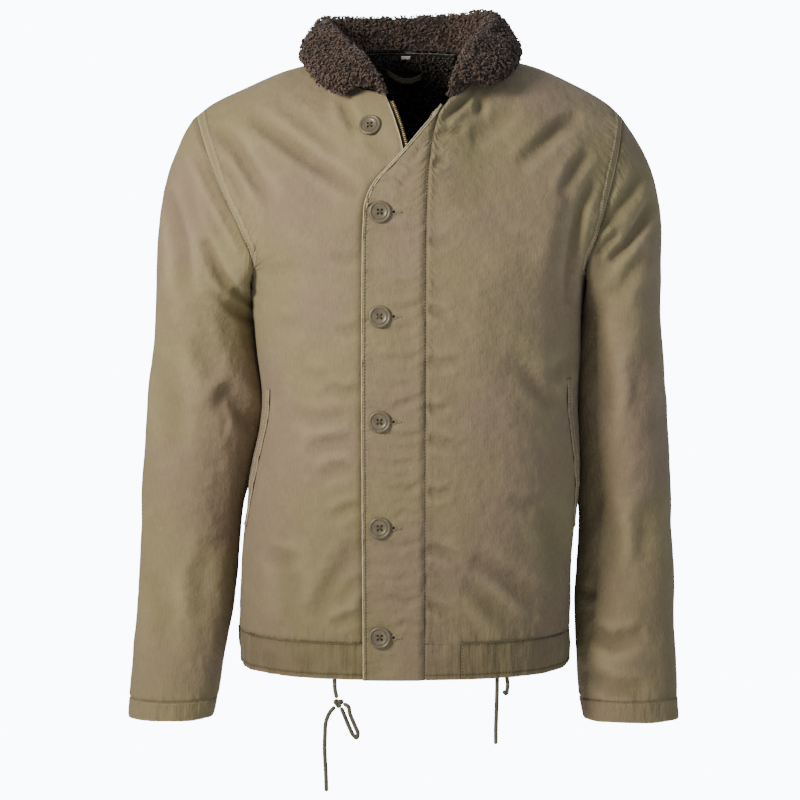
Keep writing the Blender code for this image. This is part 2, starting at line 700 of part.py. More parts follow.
def build_back():
    right = half_panel(0.0, middle_back, NECK_BACK_RIGHT, "right", "back")
    left = half_panel(0.0, middle_back, NECK_BACK_LEFT, "left", "back")
    grid, normals = mirror_join(right[0], left[0]), mirror_join(right[1], left[1])
    middle = COLUMNS
    normals[:, middle] = unit(normals[:, middle] * [0, 1, 1])
    cloth_wall("back", grid, normals, CLOTH, shell_cloth())
    build_lining(grid, normals)
    bands = [band_rows(half[2], side, "back", middle_back)
             for half, side in ((right, "right"), (left, "left"))]
    band = mirror_join(*bands)
    normals = squared(band, grid_normals(band, band * [0, 0, 1]), "right", 0)
    cloth_wall("waistband_back", band, squared(band, normals, "left"), CLOTH, shell_cloth())


def sleeve_section(z, side, turns):
    """A ring round the sleeve at a height: turns run from the outside forward round to the back."""
    rows = SLEEVES[side]
    centre_x, half_x, centre_y, half_y = np.moveaxis(curve(z, rows[:, 0], rows[:, 1:]), -1, 0)
    sign = -1 if side == "right" else 1
    return np.stack([
        centre_x + sign * half_x * np.cos(turns),
        centre_y - half_y * np.sin(turns),
        z + 0 * turns,
    ], axis=-1)


def sleeve_grid(side):
    """The sleeve's points from its armhole down to the hem stitch."""
    axis = SLEEVE_AXIS[side]
    front = armhole_points(side, "front")[::-1]
    back = armhole_points(side, "back")
    start = np.concatenate([front, back[1:-1]]) + axis * SEAM
    count = len(start)
    turns = np.linspace(0, 2 * math.pi, count, endpoint=False)
    ring = sleeve_section(np.full(count, SLEEVE_RING), side, turns)
    below = sleeve_section(np.full(count, SLEEVE_RING - 0.01), side, turns)
    reach = np.linalg.norm(ring - start, axis=1, keepdims=True)
    outward = ((1 + np.cos(turns)) / 2)[:, None]
    fullness = 1.0 + SHOULDER_FULLNESS[side] * outward
    leave = unit(outward * axis * 1.15 + np.array([0, 0, -1.0])) * reach * fullness
    arrive = (below - ring) / 0.01 * reach * 0.9
    rows = []
    for t in np.linspace(0, 1, SLEEVE_TOP_ROWS + 1)[:-1]:
        rows.append((2 * t**3 - 3 * t**2 + 1) * start + (t**3 - 2 * t**2 + t) * leave
                    + (3 * t**2 - 2 * t**3) * ring + (t**3 - t**2) * arrive)
    for z in np.linspace(SLEEVE_RING, CUFF_SEAM + SEAM, SLEEVE_ROWS + 1):
        rows.append(sleeve_section(np.full(count, z), side, turns))
    return np.array(rows)


def build_sleeve(side):
    grid = sleeve_grid(side)
    middle = grid.mean(axis=1, keepdims=True)
    grid = folded(grid, middle, wrap=True)
    normals = grid_normals(grid, grid.mean(axis=1, keepdims=True), wrap=True)
    normals[0] = keep_off(normals[0], SLEEVE_AXIS[side], -1)
    normals[-1] = unit(normals[-1] * [1, 1, 0])
    cloth_wall(f"sleeve_{side}", grid, normals, CLOTH, shell_cloth(), wrap=True)
    turns = np.linspace(0, 2 * math.pi, grid.shape[1], endpoint=False)
    hem = np.array([sleeve_section(np.full(len(turns), z), side, turns)
                    for z in (CUFF_SEAM, (CUFF_SEAM + CUFF_BOTTOM[side]) / 2, CUFF_BOTTOM[side])])
    normals = grid_normals(hem, hem.mean(axis=1, keepdims=True), wrap=True)
    normals[0] = unit(normals[0] * [1, 1, 0])
    cloth_wall(f"sleeve_hem_{side}", hem, normals, CLOTH, shell_cloth(), wrap=True)


def build_fly(panel_heights, panel_normals):
    """The fly strip, raised over the zip and free along its edge."""
    heights = np.append(panel_heights[panel_heights < FLY_TOP - 0.002], FLY_TOP)
    seam = fly_seam(heights) - SEAM
    free = curve(heights, FLY_EDGE[:, 0], FLY_EDGE[:, 1])
    shares = np.array([0, 0.06, 0.13, 0.4, 0.7, 1.0])
    x = seam[:, None] + (free - seam)[:, None] * shares
    z = np.broadcast_to(heights[:, None], x.shape)
    rise = np.clip((seam[:, None] - x) / FLY_RISE, 0, 1)
    normals = body_normal(x, z, "front")
    at_seam = [np.interp(heights, panel_heights, panel_normals[:, k]) for k in range(3)]
    normals[:, 0] = unit(np.stack(at_seam, axis=1))
    lift = FLY_LIFT * rise**2 * (3 - 2 * rise)
    grid = body_point(x, z, "front") + normals * lift[..., None]
    cloth_wall("fly_strip", grid, normals, FLY_CLOTH, shell_cloth())


def strip_on_body(name, x, z, facing, outside, thickness, material):
    """A strip made from the body's own points, its outer side moved out or, if negative, in."""
    normals = body_normal(x, z, facing)
    grid = body_point(x, z, facing) + normals * np.asarray(outside)[..., None]
    return cloth_wall(name, grid, normals, thickness, material)


def tape_rows(front, normals, top):
    """Where a zip tape is sewn behind a front panel, and the panel's edge at that depth."""
    rows = np.flatnonzero((front[:, 0, 2] > HEM + 0.010) & (front[:, 0, 2] < top))
    behind = CLOTH + TAPE_GAP
    sewn = on_grid(front, rows, TAPE_SEWN) - on_grid(normals, rows, TAPE_SEWN) * behind
    return sewn, front[rows, 0] - normals[rows, 0] * behind


def build_right_tape(front, normals):
    """The zip tape behind the right front's edge."""
    sewn, edge = tape_rows(front, normals, -0.0480)
    teeth = edge + unit(edge - sewn) * RIGHT_TAPE_OUT
    grid = np.stack([sewn, edge, teeth], axis=1)
    cloth_wall("zip_tape_right", grid, grid_normals(grid, grid * [0, 0, 1]), TAPE, shell_cloth())


def build_left_tape(front, normals):
    """The zip tape behind the left front's edge."""
    sewn, edge = tape_rows(front, normals, -0.0580)
    reach = edge[:, 0] - curve(edge[:, 2], LEFT_TAPE_EDGE[:, 0], LEFT_TAPE_EDGE[:, 1])
    teeth = edge + unit(edge - sewn) * reach[:, None]
    grid = np.stack([sewn, edge, teeth], axis=1)
    cloth_wall("zip_tape_left", grid, grid_normals(grid, grid * [0, 0, 1]), TAPE, shell_cloth())


def box(name, size, centre):
    """A plain box mesh object in the cutters' collection."""
    shape = bmesh.new()
    bmesh.ops.create_cube(shape, size=1.0)
    for vertex in shape.verts:
        vertex.co = Vector([vertex.co[k] * size[k] + centre[k] for k in range(3)])
    mesh = bpy.data.meshes.new(name)
    shape.to_mesh(mesh)
    shape.free()
    made = new_object(name, mesh, zip_brass(), "cutters")
    made.hide_render = True
    made.display_type = "WIRE"
    return made


def stand_on_body(made, x, z, facing, lift):
    """Place an object on the body: its own +Z points out of the cloth."""
    out = Vector(body_normal(np.array(x), np.array(z), facing))
    place = Vector(body_point(np.array(x), np.array(z), facing)) + out * lift
    across = Vector((1, 0, 0)) - out * out.x
    across.normalize()
    turned = Matrix((across, out.cross(across), out)).transposed().to_4x4()
    made.matrix_world = Matrix.Translation(place) @ turned


def build_slider():
    """The slider: an outer plate, an inner plate, the post between them, and a flat pull."""
    outer = box("slider_outer", (0.0086, 0.0110, 0.0012), (0, 0, -0.0008))
    outer_mesh = outer.data.copy()
    outer_mesh.materials.clear()
    slider = new_object("zip_slider", outer_mesh, zip_brass())
    adds = [
        box("slider_inner", (0.0086, 0.0110, 0.0012), (0, 0, -0.0054)),
        box("slider_post", (0.0014, 0.0016, 0.0050), (0, 0.0044, -0.0031)),
        box("slider_pull", (0.0058, 0.0160, 0.0011), (0, -0.0060, 0.0001)),
    ]
    for add in adds:
        joined = slider.modifiers.new(add.name, "BOOLEAN")
        joined.operation = "UNION"
        joined.solver = "EXACT"
        joined.object = add
    for piece in (slider, outer, *adds):
        stand_on_body(piece, 0.0071, -0.1115, "front", 0.0)


def build_welt(side, front, angles):
    """The stitched edge of a slanted pocket, made from the front panel's points."""
    bottom, top, steep, slanted = WELTS[side]
    row = np.flatnonzero((front[:, 0, 2] > bottom) & (front[:, 0, 2] < top))[:, None]
    turn = np.radians(np.linspace(steep, slanted, len(row)))[:, None] + np.radians([-2.6, 0, 2.6])
    column = np.interp(turn, angles, np.arange(len(angles)))
    normals = unit(on_grid(grid_normals(front, front * [0, 0, 1]), row, column))
    grid = on_grid(front, row, column) + normals * (SEAM + WELT_CLOTH)
    cloth_wall(f"pocket_welt_{side}", grid, normals, WELT_CLOTH, shell_cloth())


def collar_grid():
    """The middle of the collar's thickness, station by station, and its thickness."""
    right = body_point(NECK_RIGHT[:, 0], NECK_RIGHT[:, 1], "front")
    back = np.concatenate([NECK_BACK_RIGHT[::-1], NECK_BACK_LEFT[1:]])
    back = body_point(back[:, 0], back[:, 1], "back")
    left = body_point(NECK_LEFT[::-1, 0], NECK_LEFT[::-1, 1], "front")
    neckline = np.concatenate([right, back[1:-1], left])
    shares = np.array([row[1] for row in COLLAR])
    crest = np.array([row[2] for row in COLLAR])
    edge = np.array([row[3] for row in COLLAR])
    room = np.array([row[4] for row in COLLAR])
    stations = np.linspace(0, 1, 29)
    order = np.linspace(0, 1, len(COLLAR))
    base = along(neckline, curve(stations, order, shares))
    crest = curve(stations, order, crest, held=False)
    edge = curve(stations, order, edge, held=False)
    room = curve(stations, order, room)[:, None]
    out = unit((edge - base) * [1, 1, 0])
    inward = unit((crest - base) - out * 0.012)
    base = base + inward * COLLAR_GAP - out * 0.0015
    up = np.array([0, 0, 1.0])
    stand = crest - out * room - up * room * 0.8
    fall = crest + out * room - up * room * 0.8
    bulge = (fall + edge) / 2 + out * 0.003 + up * 0.003
    lines = np.stack([base, (base + stand) / 2, stand, crest, fall, bulge, edge], axis=1)
    sections = np.array([along(line, np.linspace(0, 1, 11)) for line in lines])
    ends = np.sin(np.pi * stations) ** 0.35
    thick = PILE_COLLAR_END + (PILE_COLLAR - PILE_COLLAR_END) * ends[:, None]
    seam = np.clip(np.linspace(0, 1, sections.shape[1]) / 0.25, 0, 1)
    return sections, COLLAR_SEAM + (thick - COLLAR_SEAM) * seam


def build_collar():
    sections, thick = collar_grid()
    across, up = np.gradient(sections, axis=1), np.gradient(sections, axis=0)
    normals = unit(np.cross(across, up))
    if normals[:, 5, 2].mean() < 0:
        normals = -normals
    outer = sections + normals * thick[..., None] / 2
    cloth_wall("collar", outer, normals, thick, pile_cloth())


def build_lining(back, normals):
    """The patch of back lining that shows through the neck, with its loop and tab."""
    columns = slice(COLUMNS - 3, COLUMNS + 4)
    rows = back[:, COLUMNS, 2] > LINING_BOTTOM
    patch, directions = back[rows][:, columns].copy(), normals[rows][:, columns].copy()
    patch[-1] += (patch[-2] - patch[-1]) * 0.15
    directions[-1] = unit(directions[-1] + directions[-2] * 0.3)
    inside = CLOTH + SEAM
    cloth_wall("lining_back", patch - directions * inside, directions, LINING, lining_cloth())
    inside = -(inside + LINING + 0.0009)
    share = np.linspace(0, 1, 11)[:, None]
    z = -0.0068 - 0.0050 * share - 0.0025 * np.sin(np.pi * share) + np.array([-0.0028, 0.0028])
    x = np.broadcast_to(-0.0225 + 0.0430 * share, z.shape)
    stand = np.broadcast_to(LOOP_STAND * np.sin(np.pi * share) ** 0.7, z.shape)
    strip_on_body("hanger_loop", x, z, "back", inside - stand, TAPE, cord_cotton())
    x, z = np.meshgrid([-0.0045, 0.0010, 0.0065], [0.0068, 0.0096])
    strip_on_body("neck_tab", x, z, "back", np.full(x.shape, inside), 0.0010, label_cloth())


def build_buttons():
    """Six round buttons with a raised rim and four holes."""
    profile = [
        # radius, height
        (0.0, BUTTON_H - 0.0012), (0.0072, BUTTON_H - 0.0012), (0.0085, BUTTON_H),
        (BUTTON_D / 2 - 0.0010, BUTTON_H), (BUTTON_D / 2, BUTTON_H - 0.0012),
        (BUTTON_D / 2 - 0.0012, 0.0), (0.0, 0.0),
    ]
    turns = 16
    points = [(radius * math.cos(angle), radius * math.sin(angle), height)
              for radius, height in profile[1:-1]
              for angle in np.linspace(0, 2 * math.pi, turns, endpoint=False)]
    rings = len(profile) - 2
    faces = [tuple(range(turns)), tuple(reversed(range((rings - 1) * turns, rings * turns)))]
    for ring in range(rings - 1):
        for turn in range(turns):
            after = (turn + 1) % turns
            faces.append((ring * turns + turn, (ring + 1) * turns + turn,
                          (ring + 1) * turns + after, ring * turns + after))
    for number, (x, z, lift) in enumerate(BUTTONS, 1):
        mesh = bpy.data.meshes.new(f"button_{number}")
        mesh.from_pydata(points, [], faces)
        button = new_object(f"button_{number}", mesh, button_plastic())
        stand_on_body(button, x, z, "front", lift + 0.0003)
        for hole, (right, up) in enumerate(((-1, -1), (1, -1), (1, 1), (-1, 1))):
            shape = bmesh.new()
            bmesh.ops.create_cone(
                shape, cap_ends=True, segments=6, depth=0.012,
                radius1=BUTTON_HOLE_D / 2, radius2=BUTTON_HOLE_D / 2,
                matrix=Matrix.Translation((right * BUTTON_HOLE_PITCH / 1.0,
                                           up * BUTTON_HOLE_PITCH / 1.0, 0)))
            drill_mesh = bpy.data.meshes.new("drill")
            shape.to_mesh(drill_mesh)
            shape.free()
            drill = new_object(f"drill_{number}_{hole}", drill_mesh, button_plastic(), "cutters")
            drill.matrix_world = button.matrix_world
            drill.hide_render = True
            drill.display_type = "WIRE"
            cut = button.modifiers.new(drill.name, "BOOLEAN")
            cut.operation = "DIFFERENCE"
            cut.solver = "EXACT"
            cut.object = drill


def build_cords():
    """The drawcord's free stretches as tubes, and the knot between three of them."""
    for name, route in CORDS.items():
        length = np.linalg.norm(np.diff(np.array(route), axis=0), axis=1).sum()
        smooth = along(route, np.linspace(0, 1, max(5, int(length / (2.0 * CORD_D)) + 1)))
        line = bpy.data.curves.new(name, "CURVE")
        line.dimensions = "3D"
        line.bevel_depth = CORD_D / 2
        line.bevel_resolution = 2
        line.use_fill_caps = True
        spline = line.splines.new("POLY")
        spline.points.add(len(smooth) - 1)
        for point, place in zip(spline.points, smooth):
            point.co = (*place, 1)
        new_object(name, line, cord_cotton())
    shape = bmesh.new()
    bmesh.ops.create_uvsphere(shape, u_segments=12, v_segments=8, radius=1.0)
    mesh = bpy.data.meshes.new("drawcord_right_knot")
    shape.to_mesh(mesh)
    shape.free()
    knot = new_object("drawcord_right_knot", mesh, cord_cotton())
    knot.scale = KNOT_RADII
    knot.location = KNOT_AT


def main():
    for old in list(bpy.data.objects):
        bpy.data.objects.remove(old, do_unlink=True)
    build_right_front()
    build_left_front()
    build_back()
    for side in ("right", "left"):
        build_sleeve(side)
    build_slider()
    build_collar()
    build_buttons()
    build_cords()


main()
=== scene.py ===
# %% [markdown]
# A deck jacket, filled out with no wearer: ribbed cotton, a thick curled-pile collar, a buttoned
# fly over a brass zip, and a drawcord in the hem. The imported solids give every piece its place.
# Each cloth piece is made again here from the same rules, many times finer, so that it can carry
# the small creases, the puckers of its seams, its stitches and its weave.

# %% Load the frame
import json
import math

import bmesh
import bpy
import numpy as np
from mathutils import Matrix, Vector

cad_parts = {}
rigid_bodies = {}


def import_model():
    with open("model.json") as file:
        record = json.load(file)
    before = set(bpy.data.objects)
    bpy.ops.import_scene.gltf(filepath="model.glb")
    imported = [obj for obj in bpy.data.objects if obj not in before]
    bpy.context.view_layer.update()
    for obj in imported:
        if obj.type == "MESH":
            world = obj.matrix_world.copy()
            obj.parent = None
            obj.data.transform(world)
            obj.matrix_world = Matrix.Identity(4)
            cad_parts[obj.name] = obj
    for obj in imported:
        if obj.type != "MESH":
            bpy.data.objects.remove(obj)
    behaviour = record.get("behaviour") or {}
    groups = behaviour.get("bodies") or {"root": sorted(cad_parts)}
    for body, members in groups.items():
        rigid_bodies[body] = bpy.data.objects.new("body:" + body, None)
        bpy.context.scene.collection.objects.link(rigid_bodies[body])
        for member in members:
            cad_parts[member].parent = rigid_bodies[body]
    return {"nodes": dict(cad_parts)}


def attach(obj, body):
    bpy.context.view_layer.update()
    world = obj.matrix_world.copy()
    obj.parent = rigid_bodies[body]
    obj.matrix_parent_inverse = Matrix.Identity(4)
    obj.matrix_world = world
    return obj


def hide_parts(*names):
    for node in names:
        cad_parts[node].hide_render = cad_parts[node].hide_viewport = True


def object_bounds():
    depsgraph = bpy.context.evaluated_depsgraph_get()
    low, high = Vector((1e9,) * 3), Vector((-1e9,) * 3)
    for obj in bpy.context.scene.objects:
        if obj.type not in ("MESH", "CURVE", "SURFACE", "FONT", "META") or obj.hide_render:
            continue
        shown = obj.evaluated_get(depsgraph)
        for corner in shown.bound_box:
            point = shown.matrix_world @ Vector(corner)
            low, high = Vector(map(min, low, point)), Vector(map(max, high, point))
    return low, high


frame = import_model()
cad_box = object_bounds()
print("solids in the frame:", len(frame["nodes"]))

# %% [markdown]
# The camera stands where the photographer stood: straight in front and a little above the middle,
# with a long lens. The lens follows from how many metres one pixel spans at the jacket.

# %% Camera
PHOTO_PIXELS = 800
METRES_PER_PIXEL = 0.0011
CAMERA_DISTANCE = 3.0
CAMERA_ELEVATION = math.radians(4.0)
CAMERA_TARGET = Vector((-0.0055, 0.0, -0.3740))
SENSOR_MM = 36.0

camera_data = bpy.data.cameras.new("camera")
camera_data.sensor_width = SENSOR_MM
camera_data.lens = SENSOR_MM * CAMERA_DISTANCE / (METRES_PER_PIXEL * PHOTO_PIXELS)
camera = bpy.data.objects.new("camera", camera_data)
bpy.context.scene.collection.objects.link(camera)
backwards = Vector((0, -math.cos(CAMERA_ELEVATION), math.sin(CAMERA_ELEVATION)))
camera.location = CAMERA_TARGET + backwards * CAMERA_DISTANCE
camera.rotation_euler = (-backwards).to_track_quat("-Z", "Y").to_euler()
bpy.context.scene.camera = camera
print("lens in millimetres:", round(camera_data.lens, 1))

# %% [markdown]
# Materials are built from nodes. One helper adds a node with its settings and its links, and one
# turns the sRGB hex colours that people write down into the linear values that a renderer needs.

# %% Helpers for colours and nodes


def linear(code):
    """A hex sRGB colour as linear red, green, blue and alpha."""
    parts = [int(code[k:k + 2], 16) / 255 for k in (1, 3, 5)]
    return tuple(c / 12.92 if c <= 0.04045 else ((c + 0.055) / 1.055) ** 2.4 for c in parts) + (1,)


def add(tree, kind, inputs=None, **settings):
    """A node with its settings, and with values or links on its inputs."""
    made = tree.nodes.new(kind)
    for name, value in settings.items():
        setattr(made, name, value)
    for socket, value in (inputs or {}).items():
        if isinstance(value, bpy.types.NodeSocket):
            tree.links.new(value, made.inputs[socket])
        else:
            made.inputs[socket].default_value = value
    return made


def new_material(name, **values):
    """A Principled material's tree and shader, with plain values on the shader's own sockets."""
    material = bpy.data.materials.new(name)
    material.use_nodes = True
    shader = material.node_tree.nodes["Principled BSDF"]
    for socket, value in values.items():
        shader.inputs[socket.replace("_", " ")].default_value = value
    return material, material.node_tree, shader


# %% [markdown]
# The shell is a tightly woven ribbed cotton, washed until it is a little faded and uneven. Its
# fine ribs run up the garment. They are spaced 1.6 mm apart here, which is coarser than the real
# thread, so that they show. Long faint streaks are threads of another tone, and broad clouds turn
# from green to pinkish as old dye does. Edges are rubbed paler. Painted shade darkens the cloth
# towards the hem, and the seam valleys and creases, which also hold some unfaded dye.

# %% Ribbed cotton
RIB_PITCH = 0.0016
THREAD_PITCH = 0.0011


def ribbed_cotton(name, green="#877d5c", pink="#877763", deep="#464026", worn="#b9ac88"):
    """Ribbed cotton: it reads the cloth's own UV map in metres, the wear marks and the marks of
    painted shade with some dye.
    """
    material, tree, shader = new_material(name, Roughness=0.82, Sheen_Weight=0.12)
    shader.inputs["Sheen Roughness"].default_value = 0.5
    shader.inputs["Specular IOR Level"].default_value = 0.25
    place = add(tree, "ShaderNodeTexCoord").outputs["Object"]
    cloth = add(tree, "ShaderNodeUVMap", uv_map="cloth").outputs["UV"]
    # A noise's scale is one over its size in metres: clouds of 125 mm and patches of 29 mm here,
    # and streaks 0.9 mm wide and 11 mm long, stretched along the cloth's own length.
    clouds, patches = (
        add(tree, "ShaderNodeTexNoise", {"Vector": place, "Scale": scale, "Detail": detail})
        for scale, detail in ((8.0, 3.0), (34.0, 4.0)))
    stretched = add(tree, "ShaderNodeVectorMath", {0: cloth, 1: (1100.0, 90.0, 1.0)},
                    operation="MULTIPLY")
    streaks = add(tree, "ShaderNodeTexNoise", {"Vector": stretched.outputs[0], "Scale": 1.0,
                                               "Detail": 2.0})
    height = add(tree, "ShaderNodeSeparateXYZ", {0: place}).outputs["Z"]
    shade_and_dye_fac, rubbed = (add(tree, "ShaderNodeAttribute", attribute_name=label).outputs["Fac"]
                       for label in ("shade_and_dye", "wear"))
    layers = (
        # tone, what decides where it lies, where it begins, where it is full, its share there
        (pink, clouds.outputs["Fac"], 0.38, 0.62, 1.0),
        (worn, patches.outputs["Fac"], 0.50, 0.95, 0.22),
        (deep, streaks.outputs["Fac"], 0.50, 0.86, 0.24),
        (worn, streaks.outputs["Fac"], 0.46, 0.20, 0.14),
        # painted shade: the cloth turns darker towards the hem, where less light falls
        (deep, height, -0.22, -0.66, 0.26),
        # painted shade, with some unfaded dye: seam valleys, stitch grooves, creases, the hem and
        # beside the fly
        (deep, shade_and_dye_fac, 0.0, 1.0, 1.0),
        (worn, rubbed, 0.0, 1.0, 1.0),
    )
    colour = linear(green)
    for tone, value, begins, full, share in layers:
        lies = add(tree, "ShaderNodeMapRange", {"Value": value, "From Min": begins,
                                                "From Max": full, "To Max": share})
        colour = add(tree, "ShaderNodeMix", {0: lies.outputs[0], 6: colour, 7: linear(tone)},
                     data_type="RGBA").outputs[2]
    tree.links.new(colour, shader.inputs["Base Color"])
    parts = add(tree, "ShaderNodeSeparateXYZ", {0: cloth})
    waves = []
    for axis, pitch, height in (("X", RIB_PITCH, 1.0), ("Y", THREAD_PITCH, 0.35)):
        turns = add(tree, "ShaderNodeMath", {0: parts.outputs[axis], 1: 2 * math.pi / pitch},
                    operation="MULTIPLY")
        wave = add(tree, "ShaderNodeMath", {0: turns.outputs[0]}, operation="SINE")
        waves.append(add(tree, "ShaderNodeMath", {0: wave.outputs[0], 1: height},
                         operation="MULTIPLY").outputs[0])
    weave = add(tree, "ShaderNodeMath", {0: waves[0], 1: waves[1]}, operation="ADD").outputs[0]
    # Crumples are 14 mm across; where a seam draws the cloth up, ridges lie 7 mm apart.
    crumple = add(tree, "ShaderNodeTexNoise", {"Vector": place, "Scale": 70.0, "Detail": 5.0})
    gathers = []
    for label, scale in (("pucker_up", (24.0, 150.0, 1.0)), ("pucker_round", (150.0, 24.0, 1.0))):
        amount = add(tree, "ShaderNodeAttribute", attribute_name=label).outputs["Fac"]
        drawn = add(tree, "ShaderNodeVectorMath", {0: cloth, 1: scale}, operation="MULTIPLY")
        wave = add(tree, "ShaderNodeTexNoise", {"Vector": drawn.outputs[0], "Scale": 1.0,
                                                "Detail": 2.0, "Roughness": 0.4})
        gathers.append(add(tree, "ShaderNodeMath", {0: amount, 1: wave.outputs["Fac"]},
                           operation="MULTIPLY").outputs[0])
    gathered = add(tree, "ShaderNodeMath", {0: gathers[0], 1: gathers[1]}, operation="ADD")
    drawn_up = add(tree, "ShaderNodeBump", {"Height": gathered.outputs[0], "Strength": 1.0,
                                            "Distance": 0.0040})
    soft = add(tree, "ShaderNodeBump", {"Height": crumple.outputs["Fac"], "Strength": 0.6,
                                        "Distance": 0.0042, "Normal": drawn_up.outputs[0]})
    fine = add(tree, "ShaderNodeBump", {"Height": weave, "Strength": 0.32, "Distance": 0.00012,
                                        "Normal": soft.outputs[0]})
    tree.links.new(fine.outputs[0], shader.inputs["Normal"])
    return material


shell = ribbed_cotton("ribbed cotton, olive khaki")
print("made", shell.name)

# %% [markdown]
# The collar is a curled pile: short brown yarn loops, pale at their tips, with their roots painted
# nearly black as shade deep in the pile. The body's lining is the same cloth in a darker brown
# that gets no light.

# %% Pile cloths


def curled_pile(name, root, tip, other):
    """Curled yarn: the tip mark runs from nought at the root to one at the end."""
    material, tree, shader = new_material(name, Roughness=0.9, Sheen_Weight=0.25)
    shader.inputs["Specular IOR Level"].default_value = 0.15
    place = add(tree, "ShaderNodeTexCoord").outputs["Object"]
    clouds = add(tree, "ShaderNodeTexNoise", {"Vector": place, "Scale": 22.0, "Detail": 4.0})
    share = add(tree, "ShaderNodeMapRange", {"Value": clouds.outputs["Fac"], "From Min": 0.38,
                                             "From Max": 0.66})
    yarn = add(tree, "ShaderNodeMix", {0: share.outputs[0], 6: linear(tip), 7: linear(other)},
               data_type="RGBA")
    # painted shade: the nearly black root colour stands for shade deep in the pile; the tip mark
    # fades it to the yarn's colour
    end = add(tree, "ShaderNodeAttribute", attribute_name="tip").outputs["Fac"]
    colour = add(tree, "ShaderNodeMix", {0: end, 6: linear(root), 7: yarn.outputs[2]},
                 data_type="RGBA")
    tree.links.new(colour.outputs[2], shader.inputs["Base Color"])
    fuzz = add(tree, "ShaderNodeTexNoise", {"Vector": place, "Scale": 900.0, "Detail": 3.0})
    bump = add(tree, "ShaderNodeBump", {"Height": fuzz.outputs["Fac"], "Strength": 0.5,
                                        "Distance": 0.0006})
    tree.links.new(bump.outputs[0], shader.inputs["Normal"])
    return material


collar_pile = curled_pile("curled wool pile, brown", "#130d0a", "#785f53", "#5e4c41")
lining_pile = curled_pile("curled wool pile, dark brown", "#0b0806", "#43362d", "#352b24")
print("made", collar_pile.name, "and", lining_pile.name)

# %% [markdown]
# Small fittings: moulded urea buttons are slightly mottled and satin, old brass is dull gold with
# brown tarnish in it, thread and cord are twisted cotton, and the neck tab is blank white tape.

# %% Materials of the trims


def mottled(name, low, high, scale, roughness, metallic=0.0, relief=0.0002, bump_scale=900.0):
    """A surface whose colour drifts between two tones, with a fine relief."""
    material, tree, shader = new_material(name, Roughness=roughness, Metallic=metallic)
    place = add(tree, "ShaderNodeTexCoord").outputs["Object"]
    noise = add(tree, "ShaderNodeTexNoise", {"Vector": place, "Scale": scale, "Detail": 5.0})
    share = add(tree, "ShaderNodeMapRange", {"Value": noise.outputs["Fac"], "From Min": 0.35,
                                             "From Max": 0.65})
    colour = add(tree, "ShaderNodeMix", {0: share.outputs[0], 6: linear(low), 7: linear(high)},
                 data_type="RGBA")
    tree.links.new(colour.outputs[2], shader.inputs["Base Color"])
    grain = add(tree, "ShaderNodeTexNoise", {"Vector": place, "Scale": bump_scale, "Detail": 3.0})
    bump = add(tree, "ShaderNodeBump", {"Height": grain.outputs["Fac"], "Strength": 0.4,
                                        "Distance": relief})
    tree.links.new(bump.outputs[0], shader.inputs["Normal"])
    return material


urea = mottled("moulded urea, olive brown", "#605948", "#706855", 160.0, 0.36, relief=0.00008)
brass = mottled("aged brass", "#7d6a45", "#b8a477", 500.0, 0.34, metallic=1.0, relief=0.00006)
pale_thread = mottled("cotton thread, cream", "#b9ad90", "#cfc5ab", 300.0, 0.85)
dark_thread = mottled("cotton thread, dark olive", "#3d3728", "#4c4533", 300.0, 0.85)
tan_thread = mottled("cotton thread, khaki", "#8a7f63", "#a0957a", 300.0, 0.85)
braid = mottled("braided cotton cord, dark olive", "#4a4738", "#5f5b48", 350.0, 0.9, relief=0.0004)
loop_tape = mottled("cotton twill tape, dark olive", "#6a6454", "#7d7663", 300.0, 0.9)
tab_tape = mottled("woven tape, white", "#e4e1d8", "#f2f0ea", 300.0, 0.8)
zip_tape = mottled("cotton zip tape, olive", "#39331f", "#474028", 200.0, 0.9, relief=0.0003)
piping = mottled("folded cotton edge, cream", "#bdb193", "#d2c8ae", 220.0, 0.85, relief=0.0003)
print("made", len(bpy.data.materials), "materials so far")

# %% [markdown]
# Meshes are made from grids of points. These helpers put a mesh in the scene, tie it to the
# frame, and read lengths along a grid.

# %% Mesh helpers


def place_piece(name, mesh, slot, *nodes):
    """An object in the scene that rides on the body and stands for its nodes; its slot is not used.
    """
    made = bpy.data.objects.new(name, mesh)
    bpy.context.scene.collection.objects.link(made)
    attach(made, "root")
    if nodes:
        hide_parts(*nodes)
    return made


def plain_mesh(name, points, faces, materials):
    """A smooth-shaded mesh from points and faces."""
    mesh = bpy.data.meshes.new(name)
    faces = faces if isinstance(faces, list) else faces.tolist()
    mesh.from_pydata(np.asarray(points).tolist(), [], faces)
    for material in materials:
        mesh.materials.append(material)
    mesh.polygons.foreach_set("use_smooth", np.ones(len(mesh.polygons), bool))
    mesh.update()
    return mesh


def mark(mesh, name, values):
    """A number at each point, which a material reads by its name."""
    layer = mesh.attributes.new(name, "FLOAT", "POINT")
    layer.data.foreach_set("value", np.asarray(values, np.float32).ravel())


def unit(vectors):
    """Vectors of length one."""
    vectors = np.asarray(vectors, float)
    return vectors / np.maximum(np.linalg.norm(vectors, axis=-1, keepdims=True), 1e-9)


def bell(distance, width):
    """One at nought, and dying out within a width or two."""
    return np.exp(-((distance / width) ** 2))


def run_along(points):
    """Lengths along a line of points, from its start."""
    return np.concatenate([[0], np.cumsum(np.linalg.norm(np.diff(points, axis=0), axis=1))])


def between(at, lengths, points):
    """Points at given lengths along a line."""
    return np.stack([np.interp(at, lengths, points[:, k]) for k in range(3)], axis=-1)


def smooth_step(x):
    """Nought below 0, one above 1, and smooth between."""
    x = np.clip(x, 0, 1)
    return x * x * (3 - 2 * x)


